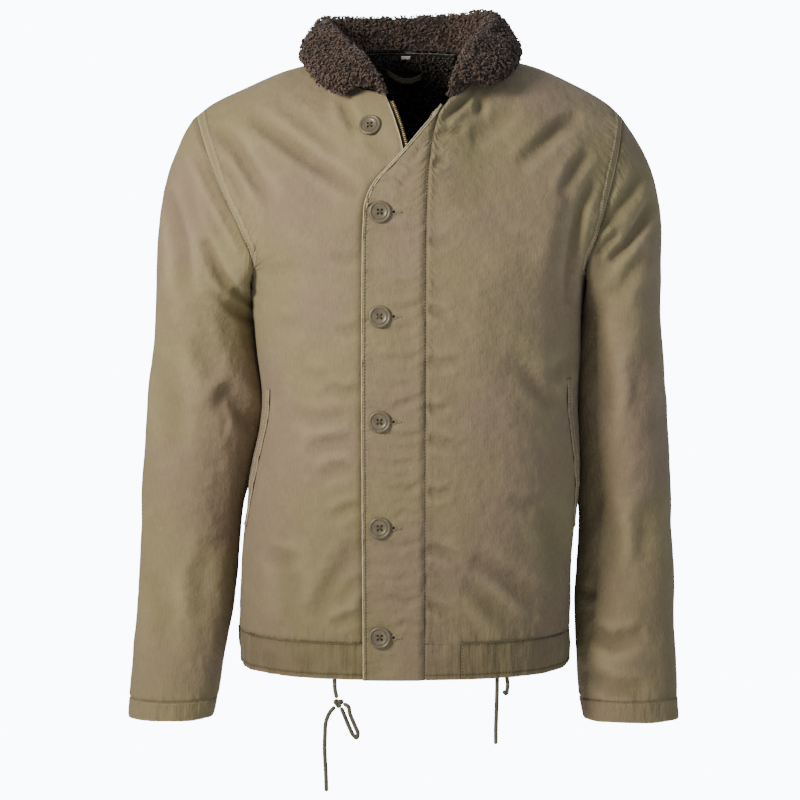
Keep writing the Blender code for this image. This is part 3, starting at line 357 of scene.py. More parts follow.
def swell(u, v, seed):
    """Smooth random heights from -1 to 1, with about one swell for each unit of u and v."""
    table = np.random.default_rng(seed).uniform(-1, 1, (64, 64))
    u, v = np.broadcast_arrays(u, v)
    i, j = np.floor(u).astype(int), np.floor(v).astype(int)
    f, g = smooth_step(u - i), smooth_step(v - j)
    near = table[i % 64, j % 64] * (1 - f) + table[(i + 1) % 64, j % 64] * f
    far = table[i % 64, (j + 1) % 64] * (1 - f) + table[(i + 1) % 64, (j + 1) % 64] * f
    return near * (1 - g) + far * g


def curve(at, keys, values, held=True):
    """A smooth curve through a short table; a held one never overshoots its rows."""
    keys, values = np.asarray(keys, float), np.asarray(values, float)
    if keys[0] > keys[-1]:
        keys, values = keys[::-1], values[::-1]
    at = np.clip(np.asarray(at, float), keys[0], keys[-1])
    gaps = np.diff(keys).reshape([-1] + [1] * (values.ndim - 1))
    rise = np.diff(values, axis=0) / gaps
    both = rise[1:] * rise[:-1]
    inner = np.where(both > 0, 2 * both / np.where(both > 0, rise[1:] + rise[:-1], 1), 0)
    free = np.gradient(values, keys, axis=0)
    slope = np.concatenate([rise[:1], inner, rise[-1:]]) if held else free
    row = np.clip(np.searchsorted(keys, at, side="right") - 1, 0, len(keys) - 2)
    step = keys[row + 1] - keys[row]
    t = (at - keys[row]) / step
    if values.ndim > 1:
        step, t = step[..., None], t[..., None]
    start = (2 * t**3 - 3 * t**2 + 1) * values[row] + (t**3 - 2 * t**2 + t) * step * slope[row]
    end = (3 * t**2 - 2 * t**3) * values[row + 1] + (t**3 - t**2) * step * slope[row + 1]
    return start + end


def along(points, shares):
    """Points at shares of a polyline's length, on a smooth curve through it."""
    points = np.asarray(points, float)
    length = run_along(points)
    return curve(np.asarray(shares) * length[-1], length, points, held=False)


# %% [markdown]
# The drawcord comes first. It is a braided cotton cord, 4.5 mm thick, that hangs out of the hem
# on both sides. On the wearer's right it is knotted, with a doubled loop and a tail; on the left a
# small loop and a tail hang down. Each tube's surface is raised in the crossing strands of a braid.

# %% The drawcord's routes
CORD_D = 0.0045
BRAID_STRANDS = 8
BRAID_PITCH = 0.0085
CORD_STEP = 0.0007
CORD_SIDES = 24
KNOT_AT = np.array([-0.0706, -0.1350, -0.6862])
KNOT_REACH = 0.0026
KNOT_D = 0.0040
MM = 0.001
CORDS = {
    # each stretch's route as (x, y, z) in millimetres, as in the part's own source
    "drawcord_right_top": [
        (-74.7, -134.6, -648), (-74.7, -134.6, -660), (-74.2, -134.8, -672),
        (-72.2, -135, -681.2),
    ],
    "drawcord_right_loop": [
        (-67.9, -135, -690.7), (-64, -135.5, -700), (-59, -136.5, -712),
        (-54.5, -137.5, -720.5), (-51.5, -139.5, -722.5), (-50, -141.2, -718.5),
        (-53.5, -141.2, -708.5), (-58.5, -141, -696), (-60.2, -140.5, -688.8),
        (-65.5, -138, -686.2),
    ],
    "drawcord_right_tail": [
        (-74.4, -135, -689.8), (-79.8, -135, -696.2), (-83.8, -135, -706),
        (-85, -135, -720), (-85.3, -135, -738), (-84.2, -135, -760),
        (-83.5, -135, -781),
    ],
    "drawcord_left_loop": [
        (107.5, -122.8, -648), (108, -122.8, -660), (108.8, -123, -671),
        (107, -124, -678), (104.2, -126, -674.5),
    ],
    "drawcord_left_tail": [
        (97.5, -127.5, -648), (97.5, -127.5, -670), (96.9, -127.5, -695),
        (96.3, -127.5, -715), (96.3, -127.5, -732),
    ],
}


# %% [markdown]
# A cord is a tube whose rings stay square to its path and don't twist along it. The braid is a
# relief on those rings, so it shows in the mesh and not only in the shading.

# %% Tubes and the braid


def tube(path, radius, sides, closed=False, relief=None):
    """Points and faces of a tube round a path, with domed ends unless it closes on itself."""
    path = np.asarray(path, float)
    if closed:
        ahead = unit(np.roll(path, -1, axis=0) - np.roll(path, 1, axis=0))
    else:
        ahead = unit(np.gradient(path, axis=0))
    side = unit(np.cross(ahead[0], (0.31, 0.95, 0.11)))
    frames = []
    for direction in ahead:
        side = unit(side - direction * (side @ direction))
        frames.append((side, np.cross(direction, side)))
    if closed:
        twist = math.atan2(frames[0][0] @ frames[-1][1], frames[0][0] @ frames[-1][0])
    turns = np.linspace(0, 2 * math.pi, sides, endpoint=False)
    length = run_along(path)
    rings = []
    for number, (one, two) in enumerate(frames):
        turned = turns + (twist * number / len(frames) if closed else 0)
        reach = np.full(sides, radius)
        if relief is not None:
            reach = radius * relief(turned, length[number])
        if not closed:
            near = min(length[number], length[-1] - length[number]) / radius
            reach = reach * math.sqrt(max(0.05, 1 - max(0.0, 1 - near) ** 2))
        rings.append(path[number] + reach[:, None] * (np.cos(turned)[:, None] * one
                                                     + np.sin(turned)[:, None] * two))
    count = len(rings)
    points = np.concatenate(rings)
    index = np.arange(count * sides).reshape(count, sides)
    after = np.roll(index, -1, axis=1)
    below, above = (index, np.roll(index, -1, axis=0)) if closed else (index[:-1], index[1:])
    below_after = after if closed else after[:-1]
    above_after = np.roll(after, -1, axis=0) if closed else after[1:]
    faces = np.stack([below, below_after, above_after, above], axis=-1).reshape(-1, 4).tolist()
    if not closed:
        faces.append(index[0, ::-1].tolist())
        faces.append(index[-1].tolist())
    return points, faces


def braided(turned, length):
    """The height of a braid: strands that wind both ways and pass over each other."""
    half = BRAID_STRANDS / 2
    right = np.cos(half * (turned + 2 * math.pi * length / BRAID_PITCH))
    left = np.cos(half * (turned - 2 * math.pi * length / BRAID_PITCH))
    return 0.96 + 0.055 * np.maximum(right, left)


# %% [markdown]
# Each stretch is one tube along a smooth curve through its route. The knot is a closed tube on
# a trefoil, a curve that crosses itself three times, as an overhand knot does.

# %% Make the cords and the knot
cords = {}
for name, route in CORDS.items():
    route = MM * np.array(route)
    path = along(route, np.linspace(0, 1, int(run_along(route)[-1] / CORD_STEP)))
    cord_length = float(run_along(path)[-1])
    points, faces = tube(path, CORD_D / 2, CORD_SIDES, relief=braided)
    piece = place_piece(name + "_braid", plain_mesh(name, points, faces, [braid]),
                        "cord_cotton", name)
    cords[name] = (piece, path, cord_length)
    print(name, "is", round(cord_length * 1000), "mm long")

turn = np.linspace(0, 2 * math.pi, 90, endpoint=False)
knot_path = KNOT_AT + KNOT_REACH * np.stack([
    0.62 * (np.sin(turn) + 1.5 * np.sin(2 * turn)),
    0.9 * np.sin(3 * turn) * 0.62,
    0.55 * (np.cos(turn) - 1.5 * np.cos(2 * turn)),
], axis=-1)
points, faces = tube(knot_path, KNOT_D / 2, 16, closed=True)
knot = place_piece("drawcord_knot_wraps", plain_mesh("knot", points, faces, [braid]),
                   "cord_cotton", "drawcord_right_knot")
for name, far_end, pieces in (
        ("drawcord_right_top", "knot", [knot]), ("drawcord_right_loop", "knot", []),
        ("drawcord_right_tail", "bare", []), ("drawcord_left_loop", "object", []),
        ("drawcord_left_tail", "bare", [])):
    piece, path, cord_length = cords[name]

# %% [markdown]
# The jacket's form comes from short tables, the same as in the part's own source: sections of the
# body at several heights, the shoulder line, the necklines and the armholes. Tables are written
# in millimetres and turned to metres at once; single sizes are in metres.

# %% Sizes and tables of the body
WAY = {"right": -1, "left": 1, "front": -1, "back": 1}
CLOTH = 0.0020
WELT_STAND = 0.0004
FLY_CLOTH = 0.0018
FLY_LIFT = 0.0036
FLY_RISE = 0.0080
WELT_CLOTH = 0.0012
TAPE = 0.0010
TAPE_GAP = 0.0007
LINING = 0.0040
SQUARENESS = 2.5
SHOULDER_ROUND = 1.5
HEM = -0.6600
BAND_SEAM = -0.6209
ARMPIT = -0.2366
CUFF_SEAM = -0.6972
SLEEVE_RING = -0.2850
FRONT_ROUNDING = 0.20
BACK_ROUNDING = 0.14
BODY = MM * np.array([
    # in millimetres: height, half width right, half width left, depth in front, depth behind
    (-660, 180.5, 180, 146, 125),
    (-608, 182, 181.5, 149, 124),
    (-553, 180, 183, 151, 122),
    (-501, 174.5, 187, 151.5, 119),
    (-442.5, 165.5, 189, 151, 116),
    (-371, 153.5, 186, 150, 115),
    (-318, 160, 188, 148, 117),
    (-266, 164.5, 192, 145, 121),
    (-236.6, 170.5, 198.5, 143, 124),
    (-210, 190, 215, 141, 126),
    (-145, 235, 248, 137, 124),
    (-63, 264, 274, 133, 115),
    (50, 280, 290, 130, 105),
])
SHOULDER = MM * np.array([
    # across, height
    (-227.2, -63), (-210, -49.9), (-173, -32.2), (-132, -14.6),
    (-82, 0), (-40, 33), (0, 45), (42, 34), (86, 2),
    (135, -8), (191, -32.2), (221, -49.9), (237, -65),
])
TIPS = {"right": SHOULDER[0], "left": SHOULDER[-1]}
NECKLINES = {
    # side and facing: across, height, from the centre out to the neck's side
    ("right", "front"): MM * np.array([
        (-21.3, -42.3), (-50, -35), (-69, -22), (-79, -8.5),
        (-82, 0)]),
    ("left", "front"): MM * np.array([
        (47.3, -46.5), (64, -37), (77, -22), (84, -7),
        (86, 2)]),
    ("right", "back"): MM * np.array([
        (0, 9.9), (-30, 8.8), (-60, 5), (-82, 0)]),
    ("left", "back"): MM * np.array([
        (0, 9.9), (30, 9), (62, 6), (86, 2)]),
}
ARMHOLES = {
    # side and facing: across, height, from the shoulder tip down to the underarm
    ("right", "front"): MM * np.array([
        (-227.2, -63), (-215, -99), (-196, -144), (-176, -186),
        (-164, -216), (-165.2, -229.5), (-170.5, -236.6)]),
    ("right", "back"): MM * np.array([
        (-227.2, -63), (-219, -100), (-206, -144), (-188, -186),
        (-173, -216), (-168.5, -230), (-170.5, -236.6)]),
    ("left", "front"): MM * np.array([
        (237, -65), (229, -110), (217, -155), (204, -196),
        (195, -220), (194.5, -231), (198.5, -236.6)]),
    ("left", "back"): MM * np.array([
        (237, -65), (231, -105), (221.5, -150), (208, -195),
        (199, -220), (197, -231), (198.5, -236.6)]),
}
SLEEVE_AXIS = {"right": np.array([-0.951, 0, -0.309]), "left": np.array([0.951, 0, -0.309])}
ZIP_EDGE = MM * np.array([
    # height, across
    (-661, 0), (-125, 0), (-103, -2.2), (-70, -11),
    (-42.3, -21.3)])
FLY_SEAM = MM * np.array([
    # height, across
    (-661, 20.8), (-207, 21.6), (-134, 23.7), (-69.1, 33.4),
    (-46.5, 47.3)])
FLY_EDGE = MM * np.array([
    # height, across
    (-661, -44), (-363, -45.2), (-200, -44.8), (-165, -43.2),
    (-145, -37), (-102.8, -1.3), (-54.5, 38.5)])
FLY_TOP = -0.0552
LEFT_TAPE_EDGE = MM * np.array([
    # height, across
    (-661, 7.5), (-118, 7.5), (-106, 8.8), (-70, 21.5),
    (-55, 28.5)])
RIGHT_TAPE_OUT = 0.0066
BAND_LEFT_START = 0.0594
LINING_BOTTOM = -0.1700
SLEEVES = {
    "right": MM * np.array([
        # height, centre across, half width, centre in depth, half depth
        (-722, -258, 45.5, -32, 40),
        (-707.5, -255.2, 47.4, -30, 41.5),
        (-652, -247.8, 50.3, -20, 47),
        (-597, -240.8, 53.3, -8, 52),
        (-487, -234.5, 56.7, 10, 59),
        (-376.5, -221.2, 62.8, 12, 64),
        (-285, -221.5, 53.5, 11, 70),
        (-266, -222.2, 52.8, 10, 72),
    ]),
    "left": MM * np.array([
        # height, centre across, half width, centre in depth, half depth
        (-722, 248.2, 52, -32, 40),
        (-707.5, 246.3, 52.7, -30, 42),
        (-652, 242.8, 55.2, -20, 48),
        (-597, 241.8, 55.5, -8, 52),
        (-487, 244, 50, 10, 64),
        (-376.5, 240.5, 48, 12, 74),
        (-285, 238.5, 43, 11, 80),
        (-266, 238.5, 42, 10, 82),
    ]),
}
TOUCH = {"right": (-0.452, -0.492), "left": (-0.468, -0.508)}
TOUCH_PRESS = 0.0009
print("body table rows:", len(BODY))

# %% [markdown]
# The folds come in two sizes. The large ones are in the solids too, so they are repeated with the
# same routes. The small ones are only here: narrow creases that run out of the armholes and the
# collar, drag lines beside the fly, and a few soft dents. Each is a trough with a soft lip.

# %% Folds
LARGE_FRONT = [
    # route as (across, height), width, depth, in millimetres
    (((-229, -102), (-204, -152), (-175, -205)), 14, 5.5),
    (((-214, -199), (-199, -233), (-168, -270)), 14, 5),
    (((-256, -150), (-242, -199), (-235, -256)), 14, 3),
    (((-206, -386), (-190, -366), (-168, -405)), 14, 3),
    (((-161, -68), (-131, -91), (-102, -110), (-66, -136)), 16, 3.5),
    (((-201, -79), (-166, -122), (-141, -158)), 16, 2.5),
    (((-51, -514), (-75, -555), (-97, -596)), 16, 2),
    (((267, -160), (252, -184), (222, -218)), 14, 5),
    (((200, -624), (227, -634), (262, -624)), 14, 3),
    (((198, -130), (184, -165), (174, -215), (168, -265)), 14, 5),
    (((188, -66), (166, -76), (128, -111)), 16, 3.5),
    (((105, -320), (145, -365)), 15, 2.5),
    (((66, -540), (108, -570), (141, -600)), 16, 2.5),
]
LARGE_BACK = [
    # route as (across, height), width, depth, in millimetres
    (((-208, -105), (-180, -170), (-160, -235)), 16, 4.5),
    (((214, -110), (188, -175), (172, -245)), 16, 4.5),
    (((-150, -420), (-70, -450), (20, -440)), 18, 3),
    (((150, -480), (60, -505), (-20, -500)), 18, 3),
    (((-262, -190), (-235, -235), (-190, -262)), 14, 4.5),
    (((262, -190), (240, -235), (205, -262)), 14, 4.5),
    (((-270, -400), (-230, -425), (-185, -410)), 14, 3.5),
    (((275, -420), (240, -445), (205, -430)), 14, 3.5),
]
SMALL_FRONT = [
    # route as (across, height), width, depth, in millimetres
    (((-230, -99), (-215, -124), (-200, -152), (-184, -180), (-168, -212)), 4.2, 2.1),
    (((-218, -192), (-199, -233), (-182, -255), (-165, -273)), 4.8, 2.2),
    (((-200, -254), (-182, -276), (-165, -292)), 4.5, 1.5),
    (((-257, -145), (-246, -180), (-240, -210), (-236, -262)), 7, 2),
    (((-240, -130), (-232, -160), (-222, -190)), 6, 1.2),
    (((-204, -383), (-193, -363), (-180, -380), (-166, -409)), 7.5, 2),
    (((-168, -64), (-146, -80), (-116, -101), (-88, -121), (-48, -148)), 6, 2.5),
    (((-140, -50), (-112, -70), (-84, -94), (-70, -108)), 5.5, 1.2),
    (((-205, -75), (-181, -98), (-166, -122), (-138, -162)), 6, 1.8),
    (((-196, -112), (-180, -134), (-168, -160)), 4.5, 1),
    (((-70, -46), (-62, -64), (-52, -80)), 5, 1.6),
    (((-120, -379), (-90, -385), (-60, -380)), 6.2, 1),
    (((-106, -419), (-84, -410), (-56, -406)), 6, 1.3),
    (((-90, -446), (-74, -437), (-52, -434)), 5.5, 1.2),
    (((-140, -282), (-126, -286), (-108, -282)), 5.5, 0.7),
    (((-110, -334), (-94, -340), (-80, -336)), 5.5, 0.7),
    (((-48, -510), (-75, -555), (-100, -600)), 8.5, 1.2),
    (((-135, -520), (-120, -560), (-118, -604)), 9, 0.9),
    (((257, -125), (243, -146), (228, -166), (208, -186)), 5.5, 2.1),
    (((270, -156), (252, -184), (236, -205), (218, -220)), 4.8, 2.3),
    (((229, -188), (217, -200), (203, -214)), 4, 1.6),
    (((262, -212), (240, -236), (222, -262)), 7, 1.6),
    (((186, -580), (196, -585), (208, -582)), 5, 1.6),
    (((198, -622), (227, -634), (260, -622)), 7, 2),
    (((195, -664), (224, -681), (260, -682)), 7, 1.6),
    (((201, -130), (188, -160), (180, -191), (176, -225), (175, -266)), 4.6, 1.9),
    (((190, -64), (166, -76), (146, -94), (118, -118)), 6.2, 2.2),
    (((198, -100), (180, -122), (164, -150)), 5.5, 1.8),
    (((120, -50), (98, -72), (70, -92)), 6.5, 1.4),
    (((70, -45), (56, -56), (40, -71)), 3.6, 2.2),
    (((61, -83), (46, -83), (31, -88)), 3, 1.4),
    (((45, -111), (36, -115), (26, -121)), 3, 1.2),
    (((84, -44), (80, -54), (79, -66)), 4.5, 1.4),
    (((123, -330), (140, -352), (158, -375)), 7, 1.3),
    (((150, -345), (166, -336), (183, -327)), 7, 1.3),
    (((72, -528), (108, -555), (143, -585)), 8, 1.4),
    (((64, -556), (90, -580), (114, -608)), 8, 1.3),
    (((150, -480), (160, -520), (166, -560)), 10, 1),
    (((-38, -78), (-30, -96), (-12, -112)), 6, 0.8),
    (((-226, -300), (-214, -330), (-206, -352)), 9, 1.2),
    (((-262, -330), (-252, -380), (-254, -430)), 10, 1.2),
    (((-208, -520), (-222, -560), (-218, -610)), 9, 1.1),
    (((-276, -560), (-262, -600), (-266, -650)), 9, 1),
    (((266, -300), (250, -340), (252, -390)), 9, 1.2),
    (((210, -300), (220, -350), (214, -410)), 8.5, 1.2),
    (((275, -470), (258, -500), (262, -545)), 9, 1.2),
    (((212, -470), (226, -520), (222, -560)), 9, 1),
]
SMALL_BACK = [
    # route as (across, height), width, depth, in millimetres
    (((-214, -100), (-192, -150), (-172, -205)), 7, 2.2),
    (((-186, -110), (-164, -160), (-150, -215)), 8, 1.6),
    (((220, -104), (198, -156), (180, -215)), 7, 2.2),
    (((192, -120), (172, -172), (158, -226)), 8, 1.5),
    (((-160, -412), (-110, -440), (-40, -452), (30, -440)), 8, 1.5),
    (((158, -474), (100, -498), (40, -508), (-30, -500)), 8.5, 1.4),
    (((-120, -530), (-80, -560), (-20, -572)), 9, 1.3),
    (((140, -560), (90, -580), (50, -606)), 9, 1.2),
    (((-60, -40), (-40, -80), (-34, -130)), 10, 0.5),
    (((70, -44), (52, -84), (44, -140)), 10, 0.5),
    (((-264, -186), (-238, -226), (-206, -254)), 7, 2.6),
    (((-252, -236), (-226, -262), (-196, -286)), 7.5, 1.8),
    (((266, -186), (242, -228), (214, -256)), 7, 2.6),
    (((258, -240), (236, -266), (212, -290)), 7.5, 1.8),
    (((-272, -394), (-236, -420), (-192, -408)), 8, 2),
    (((-266, -452), (-236, -470), (-196, -458)), 8, 1.3),
    (((277, -414), (246, -440), (210, -428)), 8, 2),
    (((276, -470), (250, -490), (216, -480)), 8, 1.3),
]
FLY_FOLDS = [
    # route as (across, height), width, depth, in millimetres
    (((29, -88), (18, -98), (4, -118)), 3, 0.7),
    (((25, -116), (11, -124), (-5, -141)), 3.2, 0.7),
    (((22, -148), (6, -151), (-13, -160)), 3.4, 0.8),
    (((19, -172), (1, -168), (-12, -175)), 3.2, 0.9),
    (((19, -183), (-4, -188), (-24, -186)), 3.2, 1.3),
    (((19, -240), (6, -243), (-10, -240)), 3.4, 0.9),
    (((19, -262), (1, -267), (-14, -266)), 3.8, 1.6),
    (((15, -285), (-7, -290), (-34, -287)), 3.4, 1.3),
    (((19, -314), (2, -321), (-26, -318)), 4, 1.5),
    (((9, -345), (-12, -349), (-40, -344)), 3.4, 1.2),
    (((19, -360), (4, -365), (-15, -373)), 3.8, 1.7),
    (((18, -399), (-2, -402), (-22, -397)), 3.8, 1.6),
    (((11, -428), (-13, -431), (-38, -426)), 3.6, 1.2),
    (((19, -452), (1, -458), (-18, -455)), 3.8, 1.5),
    (((17, -486), (0, -481), (-13, -488)), 3.4, 1.4),
    (((19, -511), (-4, -517), (-32, -513)), 4, 1.6),
    (((16, -547), (-8, -552), (-38, -548)), 3.6, 1.2),
    (((19, -572), (3, -577), (-20, -571)), 3.8, 1.4),
    (((19, -602), (1, -598), (-13, -605)), 3.4, 1.5),
]
SEAM_FOLDS = [
    # route as (across, height), width, depth, in millimetres
    (((22, -196), (36, -200), (49, -197)), 4.2, 1.1),
    (((22, -268), (34, -272), (47, -276)), 4.2, 1.2),
    (((22, -322), (38, -326), (60, -322)), 4.6, 1),
    (((22, -368), (33, -374), (46, -373)), 4.2, 1.3),
    (((22, -404), (40, -408), (62, -415)), 4.8, 1.1),
    (((22, -459), (36, -462), (50, -459)), 4.2, 1.2),
    (((22, -518), (38, -523), (58, -531)), 4.6, 1.3),
    (((22, -578), (34, -583), (48, -590)), 4.2, 1.2),
    (((-45, -214), (-60, -217), (-78, -213)), 4.6, 0.9),
    (((-45, -288), (-58, -292), (-76, -290)), 4.6, 0.9),
    (((-45, -352), (-62, -356), (-84, -352)), 5, 1.1),
    (((-45, -473), (-60, -478), (-78, -486)), 4.8, 1.2),
    (((-45, -548), (-56, -560), (-70, -580)), 5, 1.2),
    (((-45, -590), (-60, -594), (-80, -602)), 4.6, 1.1),
    (((-150, -530), (-130, -536), (-108, -530)), 6, 1),
    (((108, -470), (128, -478), (146, -476)), 6, 0.8),
]
FOLD_EASE = 0.016
SMALL_FOLD_EASE = 0.006
SMALL_DEEPER = 2.3
SMALL_WIDER = 1.15
SMALL_FRONT, SMALL_BACK = (
    [(route, SMALL_WIDER * width, SMALL_DEEPER * deep) for route, width, deep in folds]
    for folds in (SMALL_FRONT + SEAM_FOLDS, SMALL_BACK))


def fold_depth(grid, folds):
    """How far the folds press the cloth in, each a trough with a soft ridge on both sides."""
    flat = grid[..., [0, 2]]
    pressed = np.zeros(grid.shape[:2])
    for route, width, deep in folds:
        route, width = MM * np.array(route), MM * width
        steps = np.linalg.norm(np.diff(route, axis=0), axis=1)
        nearest = np.full(pressed.shape, 1e9)
        share = np.zeros(pressed.shape)
        for start, stop, step, before in zip(route, route[1:], steps, np.cumsum(steps) - steps):
            part = np.clip(((flat - start) @ (stop - start)) / step**2, 0, 1)
            away = np.linalg.norm(flat - start - part[..., None] * (stop - start), axis=-1)
            closer = away < nearest
            nearest = np.where(closer, away, nearest)
            share = np.where(closer, (before + part * step) / steps.sum(), share)
        trough = bell(nearest, width)
        lip = 0.45 * bell(nearest - 1.9 * width, 0.9 * width)
        pressed += MM * deep * np.sqrt(4 * share * (1 - share)) * (trough - lip)
    return pressed


print("folds:", len(LARGE_FRONT) + len(LARGE_BACK), "large and",
      len(SMALL_FRONT) + len(SMALL_BACK), "small")

# %% [markdown]
# These are the rules that turn the tables into a surface. The body is a rounded box in section,
# closed at the top towards the shoulder line. Above the armpit each half panel is a patch
# stretched between its centre edge, its armhole, its neckline and the row below.

# %% The body's surface


def ridge(x):
    """The height of the shoulder line at x."""
    return curve(x, SHOULDER[:, 0], SHOULDER[:, 1])


def half_width(x, z):
    """The body's half width at a height, on the side of x."""
    sides = curve(z, BODY[:, 0], BODY[:, 1:3])
    return np.where(np.asarray(x) < 0, sides[..., 0], sides[..., 1])


def depth(z, facing):
    """The body's depth at a height, in front of or behind the side seams."""
    return curve(z, BODY[:, 0], BODY[:, 3 if facing == "front" else 4])


def body_point(x, z, facing):
    """Points on the outside of the body."""
    x, z = np.broadcast_arrays(np.asarray(x, float), np.asarray(z, float))
    across = np.clip(1 - np.abs(x / half_width(x, z)) ** SQUARENESS, 0, 1) ** (1 / SQUARENESS)
    rounding = FRONT_ROUNDING if facing == "front" else BACK_ROUNDING
    below = np.clip((ridge(x) - z) / rounding, 0, 1)
    top = (1 - (1 - below) ** SHOULDER_ROUND) ** (1 / SHOULDER_ROUND)
    y = depth(z, facing) * across * top * WAY[facing]
    return np.stack([x, y, z], axis=-1)


def body_normal(x, z, facing):
    """The outward direction at points on the body."""
    step = 0.001
    right = body_point(x + step, z, facing) - body_point(x - step, z, facing)
    up = body_point(x, z + step, facing) - body_point(x, z - step, facing)
    return unit(np.cross(right, up)) * -WAY[facing]


def grid_normals(grid, wrap=False):
    """The outward directions of a grid: away from the middle of a sleeve or of the body."""
    middle = grid.mean(axis=1, keepdims=True) if wrap else grid * [0, 0, 1]
    up = np.gradient(grid, axis=0)
    if wrap:
        across = np.roll(grid, -1, axis=1) - np.roll(grid, 1, axis=1)
    else:
        across = np.gradient(grid, axis=1)
    normals = unit(np.cross(across, up))
    return normals * (1 if (normals * (grid - middle)).sum() > 0 else -1)


def edge_runs(grid):
    """Lengths along the cloth from each point to the four edges of its grid."""
    across = np.linalg.norm(np.diff(grid, axis=1), axis=2)
    up = np.linalg.norm(np.diff(grid, axis=0), axis=2)
    start = np.insert(np.cumsum(across, axis=1), 0, 0, axis=1)
    low = np.insert(np.cumsum(up, axis=0), 0, 0, axis=0)
    return {"first": start, "last": start[:, -1:] - start, "bottom": low, "top": low[-1:] - low}


def edge_ease(grid, wrap, ease):
    """Nought at a panel's edges and one well inside it."""
    runs = edge_runs(grid)
    near = smooth_step(np.minimum(runs["bottom"], runs["top"]) / ease)
    if not wrap:
        near = near * smooth_step(np.minimum(runs["first"], runs["last"]) / ease)
    return near


def folded(grid, front, back, ease, wrap=False):
    """The grid with folds pressed in, in front and behind."""
    normals = grid_normals(grid, wrap)
    ahead = np.clip(-1.8 * normals[..., 1], 0, 1)
    behind = np.clip(1.8 * normals[..., 1], 0, 1)
    pressed = ahead * fold_depth(grid, front) + behind * fold_depth(grid, back)
    return grid - normals * (pressed * edge_ease(grid, wrap, ease))[..., None]


def crowded(count, pull):
    """Shares from nought to one that lie closer together near both ends."""
    t = np.linspace(0, 1, count)
    return t - pull * np.sin(2 * math.pi * t) / (2 * math.pi)


# %% [markdown]
# A half panel is a grid: rows go up from the waistband, columns go from the centre edge to the
# side seam. Columns crowd near both ends, where the folds and the seams need finer cloth.

# %% Half a panel of the body
COLUMNS = 98
BACK_COLUMNS = 78
LOWER_ROWS = 130
ARMHOLE_STEPS = 62
CROWDING = 0.5


def column_angles(start_x, half, columns):
    """Angles round the body from a centre front distance to the side seam."""
    first = math.asin((abs(start_x) / half) ** (SQUARENESS / 2))
    near_last = math.radians(86)
    main = first + (near_last - first) * crowded(columns, CROWDING)
    return np.concatenate([main, np.linspace(near_last, math.pi / 2, 5)[1:]])


def lower_rows(angles, heights, side, facing):
    """The body below the armpit: a row of columns round it at each height."""
    sign = WAY[side]
    half = half_width(sign, heights)[:, None]
    x = sign * half * np.sin(angles) ** (2 / SQUARENESS)
    y = depth(heights, facing)[:, None] * np.cos(angles) ** (2 / SQUARENESS)
    z = np.broadcast_to(heights[:, None], x.shape)
    return np.stack([x, y * WAY[facing], z], axis=-1)


def armhole_points(side, facing):
    """Points evenly spaced round half an armhole, from the underarm to the shoulder tip."""
    flat = along(ARMHOLES[side, facing][::-1], np.linspace(0, 1, 400))
    points = body_point(flat[:, 0], flat[:, 1], facing)
    points[[0, -1], 1] = 0
    length = run_along(points)
    even = np.linspace(0, length[-1], ARMHOLE_STEPS + 1)
    return between(even, length, points)


def top_line(shares, side, facing):
    """The upper edge of a panel: its neckline, then the shoulder line out to the tip."""
    neckline, tip = NECKLINES[side, facing], TIPS[side]
    neck = neckline[-1]
    neck_length = run_along(neckline)[-1]
    part = neck_length / (neck_length + np.linalg.norm(tip - neck))
    round_neck = along(neckline, np.clip(shares / part, 0, 1))
    x = neck[0] + (tip[0] - neck[0]) * np.clip((shares - part) / (1 - part), 0, 1)
    shoulder = np.stack([x, ridge(x)], axis=-1)
    return np.where((shares < part)[..., None], round_neck, shoulder), shares >= part


def upper_rows(bottom, edge, side, facing):
    """The body above the armpit: rows that blend from the armpit's up to the shoulder line."""
    neckline = NECKLINES[side, facing]
    arm = armhole_points(side, facing)
    lift = (arm[:, 2] - arm[0, 2]) / (arm[-1, 2] - arm[0, 2])
    start, stop = bottom[0, 0], bottom[-1, 0]
    packed = (bottom[:, 0] - start) / (stop - start)
    even = crowded(len(bottom), 0.35)
    u = packed + (even - packed) * smooth_step(lift)[:, None]
    v = lift[:, None]
    top, on_shoulder = top_line(u, side, facing)
    edge_z = ARMPIT + v * (neckline[0][1] - ARMPIT)
    left = np.stack([edge(edge_z), edge_z], axis=-1)
    right = arm[:, None, [0, 2]]
    corners = (1 - u)[..., None] * neckline[0] + u[..., None] * arm[-1, [0, 2]]
    flat = v[..., None] * (top - corners) + (1 - u)[..., None] * left + u[..., None] * right
    grid = body_point(flat[..., 0], flat[..., 1], facing)
    grid[:, -1] = arm
    grid[-1, on_shoulder[-1], 1] = 0
    grid[[0, -1], -1, 1] = 0
    return grid, on_shoulder[-1]


def keep_off(normals, axis, way):
    """Seam directions that lean neither wall over the seam."""
    lean = np.clip(way * (normals @ axis), None, 0)
    return unit(normals - way * lean[..., None] * axis)


def seam_normals(grid, normals, on_shoulder, side):
    """A half panel's directions, squared up along its side seam, shoulder and armhole."""
    normals[:LOWER_ROWS + 1, -1] = (WAY[side], 0, 0)
    normals[LOWER_ROWS + 1:, -1] = keep_off(normals[LOWER_ROWS + 1:, -1], SLEEVE_AXIS[side], 1)
    normals[-1] = unit(normals[-1] + normals[-2])
    x = grid[-1, on_shoulder, 0]
    slope = (ridge(x + 0.002) - ridge(x - 0.002)) / 0.004
    normals[-1, on_shoulder] = unit(np.stack([-slope, 0 * x, np.ones(len(x))], axis=-1))
    return normals


